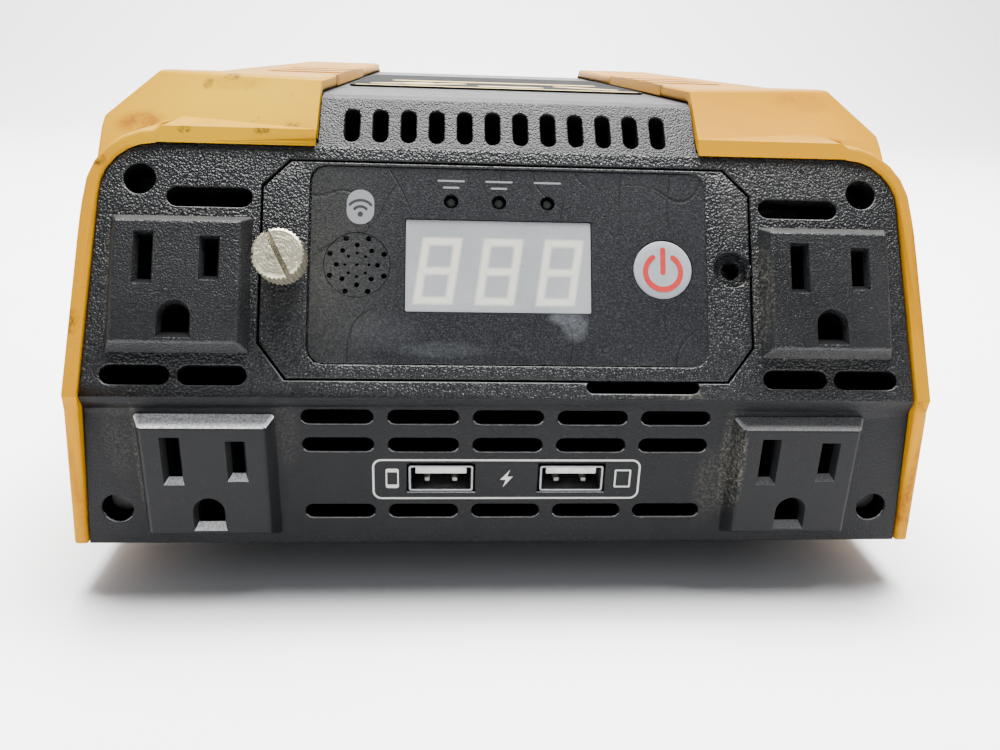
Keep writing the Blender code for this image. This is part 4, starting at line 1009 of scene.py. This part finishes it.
def make_display():
    """Milky face with three unlit seven-segment digits whose edges blur into it."""
    x, s, width, height = DISPLAY
    centre = at(UPPER, x, s)
    face = piece("display_face", extruded(rounded(width - 0.1, height - 0.1, 0.3, 2), -1.6, -0.45),
                 centre, "remote_panel", look("display_face", display_face))
    soften(face, 0.06, 2)
    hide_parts("display_window")
    tall = DIGIT[1]
    wide = DIGIT[0]
    starts = [(digit - 1) * DIGIT_PITCH + 0.2 for digit in range(3)]
    for layer, (thick, strength) in enumerate(((2.1, 0.12), (1.8, 0.34), (1.5, 0.62), (1.2, 0.86),
                                               (0.9, 1.0))):
        finish = look(f"segment_{layer}", segment_glow, (0.60, 0.595, 0.51), strength)
        frames = []
        for start in starts:
            outer = rounded(wide + thick, tall + thick, 0.5, 3)
            windows = [rounded(wide - thick, tall / 2 - thick, 0.4, 3, 0, side * tall / 4)
                       for side in (-1, 1)]
            frames.append(extruded(sheared(outer, start, -1.1, SLANT), -0.5, -0.444 + layer * 0.005,
                                   [sheared(hole, start, -1.1, SLANT) for hole in windows]))
        piece(f"segments_{layer}", merged(frames), centre, "remote_panel", finish)
    gaps = []
    for start in starts:
        for side, up in ((-1, -1), (-1, 1), (1, -1), (1, 1)):
            corner = [(side * (wide / 2 + t), up * (tall / 2 + t)) for t in (-0.75, 0.75)]
            gaps.append(sheared(stroke(corner, 0.16, 3), start, -1.1, SLANT))
            middle = [(side * (wide / 2 - t), up * t) for t in (-0.1, 0.7)]
            gaps.append(sheared(stroke(middle, 0.16, 3), start, -1.1, SLANT))
    piece("segment_gaps", merged([extruded(gap, -0.5, -0.418) for gap in gaps]), centre,
          "remote_panel", look("segment_gap", segment_glow, (0.60, 0.595, 0.51), 0.75))


def make_button():
    """Round key with a raised power sign."""
    place = at(UPPER, *BUTTON_AT)
    r = BUTTON_RADIUS
    profile = [(0.0, -0.05), (r - 1.6, -0.08), (r - 0.35, -0.16), (r - 0.1, -0.35), (r, -0.7),
               (r, -2.4), (1.6, -2.4), (1.6, -4.1), (0.0, -4.1)]
    key = piece("power_key", spun(profile, 64), place, "power_button",
                look("key_grey", plain, (0.275, 0.295, 0.310), 0.42, 0.0, 350.0, 0.07, 0.015))
    soften(key, 0.05, 2, 40)
    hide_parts("power_button")
    red = look("sign_red", plain, (0.42, 0.016, 0.016), 0.5, 0.0, 600.0, 0.10, 0.02)
    ring = arc(0.0, -0.5, 3.65, 125, 415, 48)
    for name, line in (("ring", ring), ("bar", [(0.0, 4.1), (0.0, -0.6)])):
        piece(f"power_sign_{name}", extruded(stroke(line, 1.1), -0.12, -0.03), place,
              "power_button", red)


def make_marks():
    """Plain printed signs without lettering on the overlay and round the USB ports."""
    ink = look("grey_ink", printed_ink, (0.18, 0.185, 0.19))
    dark = look("dark_ink", printed_ink, (0.012, 0.012, 0.014))
    badge = at(UPPER, -30.4, 34.45)
    piece("mark_badge", extruded(rounded(5.5, 7.2, 2.7, 8), -0.3, -0.2), badge, "remote_panel", ink)
    waves = [stroke(arc(0, -1.5, radius, 42, 138, 12), 0.55) for radius in (1.6, 2.9)]
    for index, outline in enumerate(waves + [circle(0.55, 14, 0, -1.5)]):
        piece(f"mark_badge_wave_{index}", extruded(outline, -0.3, -0.185), badge, "remote_panel",
              dark)
    for index, led_x in enumerate(LED_XS):
        ticks = [extruded(stroke([(-half, up), (half, up)], 0.4), -0.3, -0.2)
                 for half, up in ((2.6, 4.3), (1.5, 2.9))[:2 if index < 2 else 1]]
        piece(f"mark_lamp_{index}", merged(ticks), at(UPPER, led_x, LED_S), "remote_panel", ink)
    white = look("white_ink", printed_ink, (0.48, 0.48, 0.46))
    centre = at(LOWER, 0.2, -23.0)
    ring = extruded(rounded(56.2, 9.3, 1.9, 8), -0.05, 0.03, [rounded(55.4, 8.5, 1.5, 8)])
    piece("mark_port_frame", ring, centre, "chassis", white)
    phone = extruded(rounded(2.7, 4.5, 0.45, 4), -0.05, 0.03,
                     [rounded(2.1, 2.9, 0.1, 2)])
    piece("mark_phone", phone, at(LOWER, -23.8, -22.8), "chassis", white)
    tablet = extruded(rounded(3.5, 4.2, 0.3, 4), -0.05, 0.03, [rounded(2.8, 3.5, 0.1, 2)])
    piece("mark_tablet", tablet, at(LOWER, 24.6, -22.8), "chassis", white)
    bolt = [(0.7, 2.0), (-1.3, -0.3), (-0.1, -0.3), (-0.7, -2.0), (1.3, 0.4), (0.1, 0.4)]
    piece("mark_charge", extruded(bolt, -0.05, 0.03), at(LOWER, 0.0, -22.8), "chassis", white)


def make_top_label():
    """Plain gold lines on the dark label of the roof."""
    low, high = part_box("top_label")
    gold = look("gold_ink", printed_ink, (0.46, 0.33, 0.09))
    top = Matrix.Translation(Vector((0, low.y, high.z)))
    lines = [(3.0, [(-35.0, 2.4), (35.0, 2.4)]), (5.0, [(-31.0, 13.0), (-19.0, 22.0)]),
             (5.0, [(-22.0, 13.0), (-10.0, 22.0)]), (5.0, [(31.0, 13.0), (19.0, 22.0)]),
             (6.0, [(-2.0, 12.0), (10.0, 12.0)]), (6.0, [(-26.0, 36.0), (28.0, 36.0)])]
    for index, (width, line) in enumerate(lines):
        piece(f"mark_label_{index}", extruded(stroke(line, width), -0.1, 0.03), top, "chassis",
              gold)


def make_thumbscrew():
    """Knurled head with a screwdriver slot, on its shaft."""
    place = at(UPPER, *THUMBSCREW_AT)
    teeth = 36
    depth = (0.0, 0.22, 0.30, 0.22)
    knurl = [((5.1 - depth[i % 4]) * math.cos(math.tau * i / (teeth * 4)),
              (5.1 - depth[i % 4]) * math.sin(math.tau * i / (teeth * 4)))
             for i in range(teeth * 4)]
    head = extruded(knurl, 0.9, 7.4)
    cone = spun([(0.0, 7.4), (4.45, 7.4), (5.4, 6.5), (5.4, 1.6), (4.3, 0.85), (0.0, 0.85)], 64)
    tools = [("INTERSECT", cone, place),
             ("UNION", spun([(0.0, 1.6), (3.2, 1.6), (3.2, 0.3), (0.0, 0.3)], 40), place),
             ("UNION", spun([(0.0, 1.2), (1.25, 1.2), (1.25, -6.0), (0.0, -6.0)], 24), place),
             ("DIFFERENCE", tapered((12.0, 0.95), (12.0, 1.15), 6.0, 9.0), turn(place, -63))]
    screw = piece("thumbscrew_finished", clean(combined(head, place, tools), 0.0005), place,
                  "thumbscrew", look("knurled_nickel", knurled_nickel))
    soften(screw, 0.10, 2, 38)
    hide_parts("thumbscrew")


# ---------------------------------------------------------------- CAD nodes that stay

def finish_cad_nodes():
    """Procedural finishes for the CAD nodes that are shown as they are."""
    board = look("circuit_board", plain, (0.015, 0.06, 0.03), 0.5, 0.0, 250.0, 0.3)
    finishes = {
        "housing_sleeve": look("black_sleeve", black_plastic, 0.35, 1800.0, 0.45, dust=0.5),
        "top_label": look("label_dark", black_plastic, 0.05, 2600.0, 0.6, dust=0.1, shine=0.03),
        "main_board": board, "usb_board": board, "remote_board": board,
        "ground_screw": NICKEL, "button_switch": NICKEL, "capacitor": look(
            "capacitor_blue", plain, (0.02, 0.03, 0.10), 0.35),
        "display_module": look("module_white", plain, (0.5, 0.5, 0.48), 0.5),
    }
    oxide = look("black_oxide", plain, (0.008, 0.008, 0.009), 0.5, 0.0, 500.0, 0.2)
    starts = {
        "foot": look("rubber", plain, (0.015, 0.015, 0.015), 0.85, 0.0, 700.0, 0.3, 0.05),
        "terminal_stud": look("brass", plain, (0.62, 0.45, 0.18), 0.35, 1.0, 400.0, 0.15),
        "terminal_knob_positive": look("knob_red", plain, (0.45, 0.02, 0.015), 0.4, 0.0, 300.0),
        "front_screw": oxide, "rear_screw": oxide,
        "transformer": look("winding", plain, (0.30, 0.18, 0.05), 0.55, 0.0, 500.0, 0.3, 0.1),
        "heat_sink": look("alloy", plain, (0.45, 0.45, 0.45), 0.4, 1.0, 300.0, 0.12),
        "indicator": look("lamp", plain, (0.05, 0.05, 0.05), 0.25, 0.0, 600.0, 0.15),
    }
    for name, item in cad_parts.items():
        finish = finishes.get(name, SMOOTH_BLACK)
        for start, choice in starts.items():
            if name.startswith(start):
                finish = choice
        item.data.materials.clear()
        item.data.materials.append(finish)


# ---------------------------------------------------------------- stage

def make_stage():
    """Pale table that sweeps up into a backdrop."""
    work = bmesh.new()
    profile = [(-2.5, 0.0), (0.9, 0.0)]
    profile += [(0.9 + 0.5 * math.sin(math.radians(a)), 0.5 - 0.5 * math.cos(math.radians(a)))
                for a in range(10, 91, 10)]
    profile.append((1.4, 3.0))
    rows = [[work.verts.new((x, y, z)) for x in (-3.0, 3.0)] for y, z in profile]
    for low, high in zip(rows, rows[1:]):
        work.faces.new((low[0], low[1], high[1], high[0]))
    item = bpy.data.objects.new("table", mesh_of(work, "table"))
    bpy.context.scene.collection.objects.link(item)
    n = Nodes("table_white")
    cloud = n.noise(6.0, 4.0, 0.6)
    colour = n.mix(cloud, (0.88, 0.88, 0.89), (0.92, 0.92, 0.92))
    item.data.materials.append(n.set(Base_Color=colour, Roughness=0.55))
    item.data.shade_smooth()


def make_light(name, place, target, size, power):
    lamp = bpy.data.lights.new(name, "AREA")
    lamp.shape = "RECTANGLE"
    lamp.size = size[0]
    lamp.size_y = size[1]
    lamp.energy = power
    item = bpy.data.objects.new(name, lamp)
    item.location = place
    item.rotation_euler = (Vector(target) - Vector(place)).to_track_quat("-Z", "Y").to_euler()
    bpy.context.scene.collection.objects.link(item)


def make_lights():
    world = bpy.data.worlds.new("studio")
    world.use_nodes = True
    background = world.node_tree.nodes["Background"]
    background.inputs["Color"].default_value = (0.90, 0.94, 1.0, 1.0)
    background.inputs["Strength"].default_value = 0.25
    bpy.context.scene.world = world
    make_light("key", (0.05, 0.22, 1.15), (0, -0.02, 0.05), (0.9, 0.6), 96.0)
    make_light("backdrop", (0.0, 0.35, 1.5), (0, 1.4, 0.4), (1.6, 0.4), 58.0)


def make_camera():
    """Slightly above the front, a little left of the middle, as close as a hand-held shot."""
    yaw, pitch, roll = (math.radians(angle) for angle in (4.09, 21.04, 1.95))
    forward = Vector((math.sin(yaw) * math.cos(pitch), math.cos(yaw) * math.cos(pitch),
                      -math.sin(pitch)))
    right = Vector((math.cos(yaw), -math.sin(yaw), 0.0))
    up = right.cross(forward)
    across = math.cos(roll) * right + math.sin(roll) * up
    above = math.cos(roll) * up - math.sin(roll) * right
    turn_matrix = Matrix((across, above, -forward)).transposed().to_4x4()
    place = Vector((-13.36, FRONT - 157.65, FOLD_HEIGHT + 61.23)) * MM
    camera = bpy.data.cameras.new("camera")
    camera.sensor_width = 36.0
    camera.lens = 30.52
    camera.clip_start = 0.01
    item = bpy.data.objects.new("camera", camera)
    item.matrix_world = Matrix.Translation(place) @ turn_matrix
    bpy.context.scene.collection.objects.link(item)
    bpy.context.scene.camera = item


make_camera()
make_lights()
make_stage()
finish_cad_nodes()
make_front_cap()
make_skins()
for side, word in ((-1, "left"), (1, "right")):
    # Upper outlets: painted shade on their slot floors; lower outlets: painted highlight with scuffed
    # wear on their upward edges and slot floors, brighter on the left.
    make_outlet(f"outlet_upper_{word}", UPPER, side * UPPER_OUTLET[0], UPPER_OUTLET[1],
                GRAINY_BLACK, OUTLET_BLACK, RECESS_SHADE_BLACK)
    make_outlet(f"outlet_lower_{word}", LOWER, side * LOWER_OUTLET[0], LOWER_OUTLET[1],
                OUTLET_BLACK, WEAR_AND_HIGHLIGHT if side < 0 else WEAR_AND_HIGHLIGHT_DULL,
                WEAR_AND_HIGHLIGHT if side < 0 else WEAR_AND_HIGHLIGHT_DULL)
    make_usb_port(f"usb_port_{word}", side * USB_X)
make_top_label()
make_remote()
